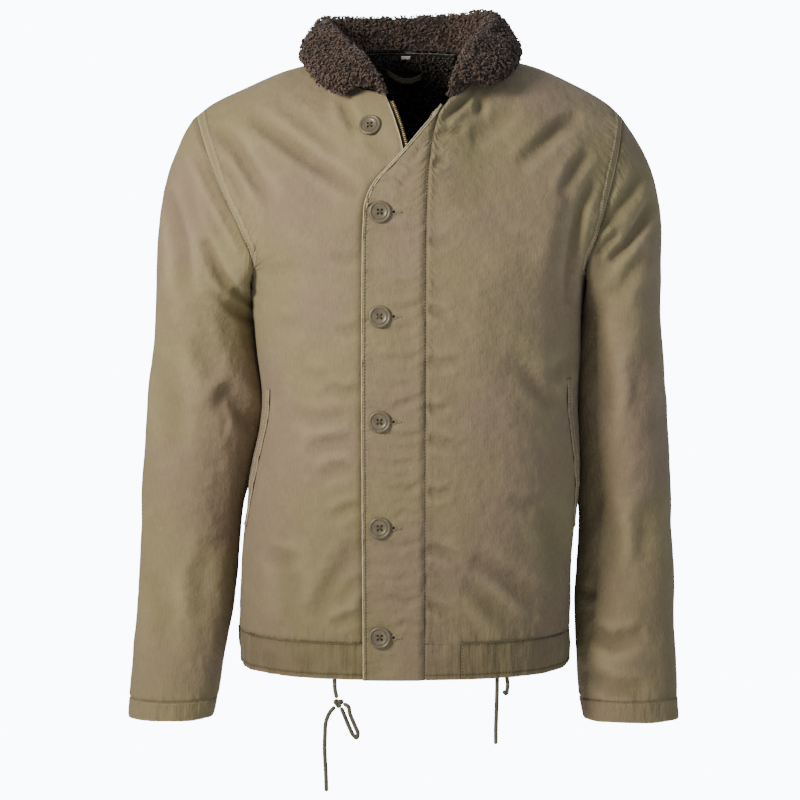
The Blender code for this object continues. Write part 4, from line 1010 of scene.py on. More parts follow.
def half_panel(start_x, edge, side, facing, columns):
    """A half of the body from the waistband to the shoulder, with its large folds."""
    angles = column_angles(start_x, half_width(WAY[side], BAND_SEAM), columns)
    heights = BAND_SEAM + (ARMPIT - BAND_SEAM) * np.linspace(0, 1, LOWER_ROWS + 1)
    low = lower_rows(angles, heights, side, facing)
    low[:, 0, 0] = edge(heights)
    low[:, 0] = body_point(low[:, 0, 0], heights, facing)
    high, on_shoulder = upper_rows(low[-1], edge, side, facing)
    grid = np.concatenate([low, high[1:]])
    grid = folded(grid, LARGE_FRONT, LARGE_BACK, FOLD_EASE)
    return grid, on_shoulder, angles


def zip_edge(z):
    return curve(z, ZIP_EDGE[:, 0], ZIP_EDGE[:, 1])


def fly_seam(z):
    return curve(z, FLY_SEAM[:, 0], FLY_SEAM[:, 1])


def middle_back(z):
    return np.zeros(np.shape(z))


print("a front panel has", (COLUMNS + 4) * (LOWER_ROWS + ARMHOLE_STEPS), "quads on its outside")

# %% [markdown]
# Sewing pulls cloth together, so every seam has its own puckers: short ridges that leave the
# stitches and die out within a centimetre or two. A turned edge is thicker than the cloth beside
# it, and the stitch line that holds it sits in a groove. Both are added to the fine grid.

# %% Seams, puckers and soft unevenness


PUCKERS = {
    # seam: millimetres between ridges, how far they reach, how high they are
    "waistband seam": (7.5, 18, 1.7),
    "armhole band": (7, 8, 1.1),
    "side seam": (11, 12, 0.6),
    "zip edge": (8, 12, 1.1),
    "fly seam": (6.2, 6, 1.1),
    "fly seam at the neck": (10, 20, 2),
    "band top": (7, 10, 1.5),
    "hem stitch": (6.5, 5, 0.9),
    "sleeve cap": (8.5, 15, 1.6),
    "sleeve end": (7, 12, 1.3),
    "sleeve hem": (7, 8, 1.1),
    "fly strip seam": (6, 5, 1),
    "fly edge": (5.5, 7, 1.3),
    "fly edge at the neck": (9, 16, 1.4),
    "pocket edge": (6, 3, 0.8),
}


def puckers(run, away, seam, seed):
    """Short ridges along a seam: run is the length along it, away the distance from it."""
    pitch, reach, high = MM * np.array(PUCKERS[seam])
    wave = swell((run + 0.45 * away) / pitch, away / (4 * reach), seed)
    more = swell((run - 0.3 * away) / (2.7 * pitch), away / (4 * reach), seed + 1)
    ridges = 0.75 * wave + 0.6 * more + 0.35 * np.abs(wave)
    return high * ridges * np.exp(-away / reach)


def turned_edge(away, width, high):
    """A turned edge: raised over its width, with a groove where it is stitched down."""
    raised = high * smooth_step((width + 0.0008 - away) / 0.0016)
    groove = 0.8 * high * bell(away - width, 0.0007)
    return raised - groove


def unevenness(runs, high, seed):
    """Soft waves of a washed cloth, of three sizes."""
    u, v = runs["first"], runs["bottom"]
    waves = 1.0 * swell(u / 0.047, v / 0.060, seed) + 0.42 * swell(u / 0.019, v / 0.026, seed + 1)
    return high * (waves + 0.16 * swell(u / 0.0075, v / 0.0100, seed + 2))


def eased(normals, wrap):
    """Directions without small ripples, unchanged along the borders, so that walls don't cross."""
    soft = normals.copy()
    for _ in range(10):
        if wrap:
            soft[1:-1] = (2 * soft[1:-1] + np.roll(soft, 1, axis=1)[1:-1]
                          + np.roll(soft, -1, axis=1)[1:-1]) / 4
            soft[1:-1] = (soft[:-2] + 2 * soft[1:-1] + soft[2:]) / 4
        else:
            middle = soft[1:-1, 1:-1]
            soft[1:-1, 1:-1] = (4 * middle + soft[:-2, 1:-1] + soft[2:, 1:-1]
                                + soft[1:-1, :-2] + soft[1:-1, 2:]) / 8
    return unit(soft)


# %% [markdown]
# Real cloth has two sides and a thickness, so each piece is a closed wall. The inner side keeps
# its distance along smoothed directions, because sharp creases would make the walls cross.

# %% A closed wall of cloth


def cloth_piece(name, grid, normals, thickness, nodes, slot="shell_cloth", wrap=False, keep=None,
                wear=None, shade_and_dye=None, outside=None, inside=None, pile=0.2, gathers=(0.0, 0.0),
                dark_rim=False):
    """A closed cloth wall as a piece: outer grid, inner grid and rim, with its UV map in metres."""
    rows, columns = grid.shape[:2]
    inner = grid - eased(normals, wrap) * np.broadcast_to(thickness, grid.shape[:2])[..., None]
    points = np.concatenate([grid.reshape(-1, 3), inner.reshape(-1, 3)])
    index = np.arange(rows * columns).reshape(rows, columns)
    if wrap:
        index = np.concatenate([index, index[:, :1]], axis=1)
    quads = np.stack([index[:-1, :-1], index[:-1, 1:], index[1:, 1:], index[1:, :-1]], axis=-1)
    row, column = np.indices(quads.shape[:2])
    corners = np.stack([row * 1000 + column, row * 1000 + column + 1,
                        row * 1000 + column + 1001, row * 1000 + column + 1000], axis=-1)
    if keep is not None:
        quads, corners = quads[keep], corners[keep]
    quads, corners = quads.reshape(-1, 4), corners.reshape(-1, 4)
    face = points[quads]
    turned = np.cross(face[:, 1] - face[:, 0], face[:, 3] - face[:, 0])
    if (turned * normals.reshape(-1, 3)[quads[:, 0]]).sum() < 0:
        quads, corners = quads[:, ::-1], corners[:, ::-1]
    shift = rows * columns
    starts, stops = quads.ravel(), np.roll(quads, -1, axis=1).ravel()
    at = corners.ravel()
    at_stop = np.roll(corners, -1, axis=1).ravel()
    forward = starts * shift + stops
    lonely = ~np.isin(forward, stops * shift + starts)
    rim = np.stack([stops, starts, starts + shift, stops + shift], axis=-1)[lonely]
    rim_corners = np.stack([at_stop, at, at, at_stop], axis=-1)[lonely]
    faces = np.concatenate([quads, quads[:, ::-1] + shift, rim])
    places = np.concatenate([corners, corners[:, ::-1], rim_corners]).ravel()
    used, packed = np.unique(faces, return_inverse=True)
    mesh = plain_mesh(name, points[used], packed.reshape(faces.shape),
                      [outside or shell, inside or lining_pile])
    which = np.zeros(len(faces), np.int32)
    which[len(quads):len(faces) if dark_rim else 2 * len(quads)] = 1
    mesh.polygons.foreach_set("material_index", which)
    runs = edge_runs(np.concatenate([grid, grid[:, :1]], axis=1) if wrap else grid)
    uv = np.stack([runs["first"][places // 1000, places % 1000],
                   runs["bottom"][places // 1000, places % 1000]], axis=-1)
    mesh.uv_layers.new(name="cloth").data.foreach_set("uv", uv.astype(np.float32).ravel())
    for label, values in (("wear", wear), ("shade_and_dye", shade_and_dye), ("pucker_up", gathers[0]),
                          ("pucker_round", gathers[1])):
        values = np.zeros(grid.shape[:2]) if values is None else np.clip(values, 0, 1)
        mark(mesh, label, np.tile(np.broadcast_to(values, grid.shape[:2]).ravel(), 2)[used])
    # the tip mark sets the pile's painted root shade: low values give nearly black pile
    mark(mesh, "tip", np.full(len(used), pile))
    piece = place_piece(name, mesh, slot, *nodes)
    return piece


# %% [markdown]
# Stitches, teeth and curls all repeat one small shape at many places. A Geometry Nodes tree does
# that: it stands a copy on every point, turns it so that it lies along its line and faces out of
# the cloth, and makes the copies real.

# %% A tree that repeats a shape on points


def repeat_tree():
    """Copies of a piece on points that hold where they run, which way is out and how large."""
    tree = bpy.data.node_groups.new("repeat on points", "GeometryNodeTree")
    face = tree.interface
    face.new_socket("Geometry", in_out="INPUT", socket_type="NodeSocketGeometry")
    face.new_socket("Piece", in_out="INPUT", socket_type="NodeSocketObject")
    face.new_socket("Material", in_out="INPUT", socket_type="NodeSocketMaterial")
    face.new_socket("Geometry", in_out="OUTPUT", socket_type="NodeSocketGeometry")
    given = add(tree, "NodeGroupInput")
    spots = add(tree, "GeometryNodeMeshToPoints", {"Mesh": given.outputs["Geometry"]})
    read = {}
    for name in ("along", "out", "size"):
        read[name] = add(tree, "GeometryNodeInputNamedAttribute", {"Name": name},
                         data_type="FLOAT_VECTOR").outputs["Attribute"]
    upright = add(tree, "FunctionNodeAlignRotationToVector", {"Vector": read["out"]}, axis="Z")
    turned = add(tree, "FunctionNodeAlignRotationToVector",
                 {"Rotation": upright.outputs[0], "Vector": read["along"]},
                 axis="X", pivot_axis="Z")
    shape = add(tree, "GeometryNodeObjectInfo", {"Object": given.outputs["Piece"]})
    copies = add(tree, "GeometryNodeInstanceOnPoints",
                 {"Points": spots.outputs[0], "Instance": shape.outputs["Geometry"],
                  "Rotation": turned.outputs[0], "Scale": read["size"]})
    real = add(tree, "GeometryNodeRealizeInstances", {0: copies.outputs[0]})
    painted = add(tree, "GeometryNodeSetMaterial",
                  {"Geometry": real.outputs[0], "Material": given.outputs["Material"]})
    add(tree, "NodeGroupOutput", {0: painted.outputs[0]})
    return tree


REPEAT = repeat_tree()


def repeated(name, template, material, slot, places, ways, outs, sizes=None, nodes=()):
    """One piece that holds a copy of the template at each place."""
    mesh = bpy.data.meshes.new(name)
    mesh.from_pydata(np.asarray(places).tolist(), [], [])
    sizes = np.ones((len(places), 3)) if sizes is None else sizes
    for label, values in (("along", ways), ("out", outs), ("size", sizes)):
        layer = mesh.attributes.new(label, "FLOAT_VECTOR", "POINT")
        layer.data.foreach_set("vector", np.asarray(values, np.float32).ravel())
    holder = bpy.data.objects.new(name + "_points", mesh)
    model = bpy.data.objects.new(name + "_template", template)
    for made in (holder, model):
        bpy.context.scene.collection.objects.link(made)
    modifier = holder.modifiers.new("repeat", "NODES")
    modifier.node_group = REPEAT
    for item in REPEAT.interface.items_tree:
        if item.in_out == "INPUT" and item.name == "Piece":
            modifier[item.identifier] = model
        if item.in_out == "INPUT" and item.name == "Material":
            modifier[item.identifier] = material
    shown = holder.evaluated_get(bpy.context.evaluated_depsgraph_get())
    real = bpy.data.meshes.new_from_object(shown)
    real.name = name
    for made in (holder, model):
        bpy.data.objects.remove(made)
    real.polygons.foreach_set("use_smooth", np.ones(len(real.polygons), bool))
    piece = place_piece(name, real, slot, *nodes)
    print(name, "repeats", len(places), "times:", len(real.loop_triangles) or len(real.polygons))
    return piece


def spaced(points, outs, pitch):
    """Places every pitch along a line, with the line's direction and the way out of the cloth."""
    length = run_along(points)
    count = max(2, int(length[-1] / pitch))
    at = (np.arange(count) + 0.5) * length[-1] / count
    here = between(at, length, points)
    return here, unit(np.gradient(here, axis=0)), unit(between(at, length, outs))


stitch_lines = {"pale": [], "dark": [], "tan": []}


def inset(grid, normals, edge, away, rows=slice(None), lift=0.0001):
    """A line on the cloth at a distance from one of its edges, and the way out along it."""
    if edge in ("bottom", "top"):
        grid, normals = np.swapaxes(grid, 0, 1), np.swapaxes(normals, 0, 1)
        edge = "first" if edge == "bottom" else "last"
    run = edge_runs(grid)[edge][rows]
    points, outs = [], []
    for lengths, line, out in zip(run, grid[rows], normals[rows]):
        order = slice(None) if edge == "first" else slice(None, None, -1)
        points.append(between(away, lengths[order], line[order]))
        outs.append(between(away, lengths[order], out[order]))
    points, outs = np.array(points), unit(outs)
    return points + outs * lift, outs


def sew(kind, line):
    """Remember a stitch line; all lines of one thread are sewn together at the end."""
    stitch_lines[kind].append(line)


# %% [markdown]
# The right front. Its centre edge is turned and stitched beside the zip, its armhole carries a
# doubled row of stitches, and its lower edge is drawn up a little by the waistband.

# %% Relief, marks and gathers of a half panel
ARM_BAND = 0.0102
ARM_STITCH = 0.0018
EDGE_TURN = 0.0042
HEM_STITCH = 0.0055
BAND_STITCH = 0.0014
SEAM_EASE = 0.0022


def body_details(grid, normals, seed, first_pucker, sewn_first=False):
    """Outward relief of a half panel: its seams' puckers, turned edges and soft waves."""
    runs = edge_runs(grid)
    arm_rows = smooth_step((np.arange(len(grid)) - LOWER_ROWS) / 6.0)[:, None]
    relief = unevenness(runs, 0.0011, seed)
    relief += puckers(runs["first"], runs["bottom"], "waistband seam", seed + 3)
    relief += arm_rows * turned_edge(runs["last"], ARM_BAND, 0.0009)
    from_band = np.abs(runs["last"] - ARM_BAND)
    relief += arm_rows * puckers(runs["bottom"], from_band, "armhole band", seed + 5)
    relief += (1 - arm_rows) * puckers(runs["bottom"], runs["last"], "side seam", seed + 7)
    relief += first_pucker
    near = np.minimum(runs["last"], np.minimum(runs["bottom"], runs["top"]))
    if sewn_first:
        near = np.minimum(near, runs["first"])
    return relief * smooth_step(near / SEAM_EASE), runs, arm_rows


def seam_marks(runs, arm_rows):
    """Paler rubbed edges, and painted shade with some unfaded dye in the valleys beside seams."""
    wear = 0.70 * bell(runs["last"], 0.0014) * arm_rows
    wear = wear + 0.22 * arm_rows * bell(runs["last"] - ARM_BAND + 0.001, 0.0010)
    shade_and_dye = 0.35 * arm_rows * bell(runs["last"] - ARM_BAND - 0.0006, 0.0012)
    shade_and_dye = shade_and_dye + 0.28 * bell(runs["bottom"], 0.0030)
    # painted shade: darker towards the panel's bottom, where less light falls
    shade_and_dye = shade_and_dye + 0.15 * bell(runs["bottom"], 0.12)
    return wear, shade_and_dye


def finish_panel(grid, normals, relief, on_shoulder, side):
    """The displaced panel and its directions."""
    grid = grid + normals * relief[..., None]
    grid = towards_sleeve(grid, side)
    grid = folded(grid, SMALL_FRONT, SMALL_BACK, SMALL_FOLD_EASE)
    normals = grid_normals(grid)
    return grid, seam_normals(grid, normals, on_shoulder, side)


def side_gap(z, side):
    """Half the gap between the body and the sleeve, over the heights where the two touch."""
    sign = WAY[side]
    arm = SLEEVES[side]
    inner = curve(z, arm[:, 0], np.abs(arm[:, 1]) - arm[:, 2])
    low, high = TOUCH[side][1], TOUCH[side][0]
    near = smooth_step((z - low) / (high - low)) * smooth_step((ARMPIT - 0.001 - z) / 0.016)
    return near * ((inner - half_width(sign * np.ones(np.shape(z)), z)) / 2 + TOUCH_PRESS)


def towards_sleeve(grid, side):
    """The panel with its side pushed out softly, so that it touches the sleeve."""
    run = edge_runs(grid)["last"]
    push = side_gap(grid[..., 2], side) * smooth_step(1 - run / 0.060)
    return grid + push[..., None] * np.array([WAY[side], 0, 0])


def crease_marks(grid, folds):
    """Painted shade, with some unfaded dye, in the creases' troughs; their ridges are rubbed paler.
    """
    pressed = fold_depth(grid, folds)
    return 0.30 * np.clip(pressed / 0.005, 0, 1), 0.16 * np.clip(-pressed / 0.002, 0, 1)


def side_gathers(runs, arm_rows, first_width):
    """Where seams draw a half panel up: beside its upright edges, and above its lower one."""
    up = arm_rows * np.exp(-np.abs(runs["last"] - ARM_BAND) / 0.009)
    up = up + (1 - arm_rows) * 0.3 * np.exp(-runs["last"] / 0.012)
    if first_width:
        up = up + 0.5 * np.exp(-runs["first"] / first_width)
    return up, 0.9 * np.exp(-runs["bottom"] / 0.014)


def band_rows(angles, side, facing, edge):
    """The waistband's stretch of a half panel, from the hem to its seam."""
    heights = HEM + (BAND_SEAM - HEM) * crowded(26, 0.45)
    grid = lower_rows(angles, heights, side, facing)
    if edge is not None:
        grid[:, 0] = body_point(edge(heights), heights, facing)
    return grid


def band_details(grid, normals, seed, cut=None):
    """The waistband's relief: a turned hem, and short gathers round the drawcord inside it."""
    runs = edge_runs(grid)
    relief = unevenness(runs, 0.0009, seed)
    relief += 0.0011 * swell(runs["first"] / 0.0085, runs["bottom"] / 0.030, seed + 3)
    relief += puckers(runs["first"], runs["top"], "band top", seed + 4)
    from_stitch = np.abs(runs["bottom"] - HEM_STITCH)
    relief += puckers(runs["first"], from_stitch, "hem stitch", seed + 6)
    relief -= 0.0006 * bell(runs["bottom"] - HEM_STITCH, 0.0009)
    relief += 0.0010 * bell(runs["bottom"] - 0.021, 0.010)
    # painted shade: the whole band darker, as less light reaches the hem, and darker at its top seam
    # and hem stitch; the random patches below are the cloth's own tone
    shade_and_dye = 0.36 + 0.30 * bell(runs["top"], 0.0024)
    shade_and_dye = shade_and_dye + 0.30 * bell(runs["bottom"] - HEM_STITCH, 0.0012)
    shade_and_dye = shade_and_dye + 0.20 * np.clip(swell(runs["first"] / 0.013, runs["bottom"] / 0.02, seed + 8), 0, 1)
    wear = 0.30 * bell(runs["bottom"], 0.0012)
    near = np.minimum(np.minimum(runs["first"], runs["last"]), runs["top"])
    if cut is not None:
        near = np.minimum(near, np.abs(runs["first"] - runs["first"][:, cut:cut + 1]))
    return grid + normals * (relief * smooth_step(near / SEAM_EASE))[..., None], wear, shade_and_dye


def level_normals(grid, side):
    """Directions of a band, square at its side seams."""
    normals = grid_normals(grid)
    if side == "back":
        normals[:, 0] = (-1, 0, 0)
    normals[:, -1] = (WAY[side], 0, 0)
    return normals


def finish_band(side, band, seed):
    """A stretch of waistband with its relief, and the two stitch lines along it."""
    band, wear, shade_and_dye = band_details(band, level_normals(band, side), seed)
    normals = level_normals(band, side)
    cloth_piece(f"waistband_{side}_cloth", band, normals, CLOTH, [f"waistband_{side}"],
                wear=wear, shade_and_dye=shade_and_dye, gathers=(0.0, 0.75))
    sew("dark", inset(band, normals, "bottom", HEM_STITCH))
    sew("dark", inset(band, normals, "top", BAND_STITCH))
    return band, normals


# %% [markdown]
# With these helpers the right front takes a few steps: the base grid, the relief of its seams,
# the small folds, and then the marks of wear, and of painted shade with some dye, that the material
# reads.

# %% Make the right front and its waistband
grid, on_shoulder, right_angles = half_panel(0.0, zip_edge, "right", "front", COLUMNS)
normals = seam_normals(grid, grid_normals(grid), on_shoulder, "right")
runs = edge_runs(grid)
edge_relief = turned_edge(runs["first"], EDGE_TURN, 0.0005)
edge_relief += puckers(runs["bottom"], runs["first"], "zip edge", 41)
relief, runs, arm_rows = body_details(grid, normals, 40, edge_relief)
right_base, right_base_normals = grid, normals
grid, normals = finish_panel(grid, normals, relief, on_shoulder, "right")
wear, shade_and_dye = seam_marks(runs, arm_rows)
wear = wear + 0.5 * bell(runs["first"], 0.0010)
# painted shade in the stitched groove of the turned edge
shade_and_dye = shade_and_dye + 0.25 * bell(runs["first"] - EDGE_TURN, 0.0009)
# painted shadow on the right front beside the fly's free edge, where the fly stands over it
beside = curve(grid[..., 2], FLY_EDGE[:, 0], FLY_EDGE[:, 1]) - grid[..., 0]
fly_edge_shadow = 0.85 * bell(np.clip(beside, 0, None), 0.0048) * (grid[..., 2] < -0.12)
shade_and_dye = shade_and_dye + fly_edge_shadow * (0.75 + 0.25 * swell(runs["bottom"] / 0.03, 0.5 + 0 * beside, 47))
crease_shade_and_dye, ridges = crease_marks(right_base, SMALL_FRONT)
cloth_piece("front_right_cloth", grid, normals, CLOTH, ["front_right"],
            wear=wear + ridges, shade_and_dye=shade_and_dye + crease_shade_and_dye, gathers=side_gathers(runs, arm_rows, 0.010))
right_front = (grid, normals)
upper = slice(LOWER_ROWS + 2, None)
sew("pale", inset(grid, normals, "last", ARM_STITCH, upper))
sew("pale", inset(grid, normals, "last", ARM_BAND - 0.0012, upper))
sew("tan", inset(grid, normals, "first", EDGE_TURN))
finish_band("right", band_rows(right_angles, "right", "front", zip_edge), 60)

# %% [markdown]
# The left front starts at the seam that holds the fly. That line of dark stitches is pulled tight,
# so the cloth on both sides of it is drawn into short creases, deepest near the neck.

# %% Left front and its waistband
half = float(half_width(1, BAND_SEAM))
grid, on_shoulder, left_angles = half_panel(0.0208, fly_seam, "left", "front", COLUMNS)
stop = math.asin((BAND_LEFT_START / half) ** (SQUARENESS / 2))
nearest = int(np.argmin(np.abs(left_angles - stop)))
left_angles[nearest] = stop
heights = grid[:LOWER_ROWS, 0, 2]
grid[:LOWER_ROWS, nearest] = lower_rows(left_angles[[nearest]], heights, "left", "front")[:, 0]
normals = seam_normals(grid, grid_normals(grid), on_shoulder, "left")
runs = edge_runs(grid)
near_neck = smooth_step((grid[..., 2] + 0.19) / 0.08)
seam_pull = puckers(runs["bottom"], runs["first"], "fly seam", 81)
seam_pull += near_neck * puckers(runs["bottom"], runs["first"], "fly seam at the neck", 85)
seam_pull += 0.0006 * bell(runs["first"] - 0.004, 0.0025)
relief, runs, arm_rows = body_details(grid, normals, 80, seam_pull, True)
left_base, left_base_normals = grid, normals
grid, normals = finish_panel(grid, normals, relief, on_shoulder, "left")
band = band_rows(left_angles, "left", "front", fly_seam)
band, band_wear, band_shade_and_dye = band_details(band, level_normals(band, "left"), 90, nearest)
whole = np.concatenate([band[:-1], grid])
normals_whole = np.concatenate([level_normals(band, "left")[:-1], normals])
keep = np.ones((len(whole) - 1, whole.shape[1] - 1), bool)
keep[:len(band) - 1, nearest:] = False
wear, shade_and_dye = seam_marks(runs, arm_rows)
# painted shade: none at the bottom under the fly, where there is no band seam, and a dark line along
# the fly seam
shade_and_dye[:, :nearest] -= 0.28 * bell(runs["bottom"][:, :nearest], 0.0030)
shade_and_dye = shade_and_dye + 0.45 * bell(runs["first"], 0.0014)
crease_shade_and_dye, ridges = crease_marks(left_base, SMALL_FRONT)
wear, shade_and_dye = wear + ridges, shade_and_dye + crease_shade_and_dye
up, round_it = side_gathers(runs, arm_rows, 0.012)
up = up + near_neck * np.exp(-runs["first"] / 0.016)
gathered = (np.concatenate([np.full((len(band) - 1, band.shape[1]), 0.2), up]),
            np.concatenate([np.full((len(band) - 1, band.shape[1]), 0.6), round_it]))
# painted shade: the band under the fly darker towards the hem and in its hem stitch groove
strip_shade_and_dye = band_shade_and_dye.copy()
rise = edge_runs(band)["bottom"][:, :nearest]
strip_shade_and_dye[:, :nearest] = 0.36 - 0.21 * smooth_step(rise / 0.050)
strip_shade_and_dye[:, :nearest] += 0.20 * bell(rise - HEM_STITCH, 0.0010)
cloth_piece("front_left_cloth", whole, normals_whole, CLOTH, ["front_left"],
            keep=keep, wear=np.concatenate([band_wear[:-1], wear]),
            shade_and_dye=np.concatenate([strip_shade_and_dye[:-1], shade_and_dye]), gathers=gathered)
left_front = (grid, normals)
sew("pale", inset(grid, normals, "last", ARM_STITCH, upper))
sew("pale", inset(grid, normals, "last", ARM_BAND - 0.0012, upper))
outer_angles = np.concatenate([[stop], left_angles[nearest + 1:]])
rest, normals = finish_band("left", band_rows(outer_angles, "left", "front", None), 90)
sew("dark", inset(whole[:, :nearest + 1], normals_whole[:, :nearest + 1], "bottom", HEM_STITCH))
sew("dark", inset(rest, normals, "first", 0.0012))

# %% [markdown]
# The back is one panel across both shoulders. The photograph doesn't show it, so it has the same
# kinds of folds as the front: drag lines to the armholes and soft waves across the waist.

# %% Back and its waistband


def mirror_join(right, left):
    """Two half grids side by side, sharing the middle column."""
    return np.concatenate([right[:, ::-1], left[:, 1:]], axis=1)


halves, bands = {}, {}
for side, seed in (("right", 120), ("left", 140)):
    grid, on_shoulder, angles = half_panel(0.0, middle_back, side, "back", BACK_COLUMNS)
    normals = seam_normals(grid, grid_normals(grid), on_shoulder, side)
    relief, runs, arm_rows = body_details(grid, normals, seed, 0.0)
    relief = relief * smooth_step(runs["first"] / 0.030)
    wear, shade_and_dye = seam_marks(runs, arm_rows)
    crease_shade_and_dye, ridges = crease_marks(grid, SMALL_BACK)
    up, round_it = side_gathers(runs, arm_rows, 0)
    halves[side] = (grid, normals, relief, wear + ridges, shade_and_dye + crease_shade_and_dye, up, round_it)
    bands[side] = band_rows(angles, side, "back", middle_back)
base = mirror_join(halves["right"][0], halves["left"][0])
base_normals = mirror_join(halves["right"][1], halves["left"][1])
base_normals[:, BACK_COLUMNS + 3] = unit(base_normals[:, BACK_COLUMNS + 3] * [0, 1, 1])
relief = mirror_join(*(halves[side][2][..., None] for side in ("right", "left")))
across = edge_runs(base)["first"]
middle_waves = 0.0012 * swell(across / 0.050, base[..., 2] / 0.064, 150)
ends = edge_runs(base)
back_grid = base + base_normals * (relief + middle_waves[..., None] * smooth_step(
    np.minimum(ends["top"], ends["bottom"]) / 0.03)[..., None])
back_grid = mirror_join(towards_sleeve(back_grid[:, BACK_COLUMNS + 3::-1], "right"),
                        towards_sleeve(back_grid[:, BACK_COLUMNS + 3:], "left"))
back_grid = folded(back_grid, SMALL_FRONT, SMALL_BACK, SMALL_FOLD_EASE)
back_normals = grid_normals(back_grid)
back_normals[:, [0, -1]] = base_normals[:, [0, -1]]
back_normals[-1] = base_normals[-1]
wear, shade_and_dye, up, round_it = (
    mirror_join(halves["right"][k][..., None], halves["left"][k][..., None])[..., 0]
    for k in (3, 4, 5, 6))
cloth_piece("back_cloth", back_grid, back_normals, CLOTH, ["back"],
            wear=wear, shade_and_dye=shade_and_dye, gathers=(up, round_it), dark_rim=True)
for edge in ("first", "last"):
    sew("tan", inset(back_grid, back_normals, edge, 0.0013, upper))
    sew("tan", inset(back_grid, back_normals, edge, ARM_BAND - 0.0006, upper))
band, normals = finish_band("back", mirror_join(bands["right"], bands["left"]), 160)

# %% [markdown]
# Each sleeve leaves its armhole along the arm and then falls to the cuff. Its rows near the top
# are strands that bend from the armhole into the first full ring of the arm.

# %% A sleeve's rings
SHOULDER_FULLNESS = {"right": 0.05, "left": 0.35}
SLEEVE_RADIUS = 0.055
CUFF_BOTTOM = {"right": -0.7180, "left": -0.7200}
SLEEVE_TOP_ROWS = 50
SLEEVE_ROWS = 116


def sleeve_section(z, side, turns):
    """A ring round the sleeve at a height, from the outside forward round to the back."""
    rows = SLEEVES[side]
    centre_x, half_x, centre_y, half_y = np.moveaxis(curve(z, rows[:, 0], rows[:, 1:]), -1, 0)
    sign = WAY[side]
    return np.stack([centre_x + sign * half_x * np.cos(turns), centre_y - half_y * np.sin(turns),
                     z + 0 * turns], axis=-1)


def sleeve_grid(side):
    """The sleeve's points from its armhole down to the hem stitch."""
    axis = SLEEVE_AXIS[side]
    front = armhole_points(side, "front")[::-1]
    back = armhole_points(side, "back")
    start = np.concatenate([front, back[1:-1]])
    count = len(start)
    turns = np.linspace(0, 2 * math.pi, count, endpoint=False)
    ring = sleeve_section(np.full(count, SLEEVE_RING), side, turns)
    below = sleeve_section(np.full(count, SLEEVE_RING - 0.01), side, turns)
    reach = np.linalg.norm(ring - start, axis=1, keepdims=True)
    outward = ((1 + np.cos(turns)) / 2)[:, None]
    leave = unit(outward * axis * 1.15 + np.array([0, 0, -1.0])) * reach
    leave = leave * (1.0 + SHOULDER_FULLNESS[side] * outward)
    arrive = (below - ring) / 0.01 * reach * 0.9
    rows = []
    for t in np.linspace(0, 1, SLEEVE_TOP_ROWS + 1)[:-1]:
        rows.append((2 * t**3 - 3 * t**2 + 1) * start + (t**3 - 2 * t**2 + t) * leave
                    + (3 * t**2 - 2 * t**3) * ring + (t**3 - t**2) * arrive)
    for share in np.linspace(0, 1, SLEEVE_ROWS + 1):
        z = SLEEVE_RING + (CUFF_SEAM - SLEEVE_RING) * share
        rows.append(sleeve_section(np.full(count, z), side, turns))
    return np.array(rows)


# %% [markdown]
# The same seams and folds are laid on a closed ring of cloth. The cap is eased into the armhole,
# so its puckers are the longest, and the hem's band below the stitch line is slightly thicker.

# %% Make a sleeve and its hem


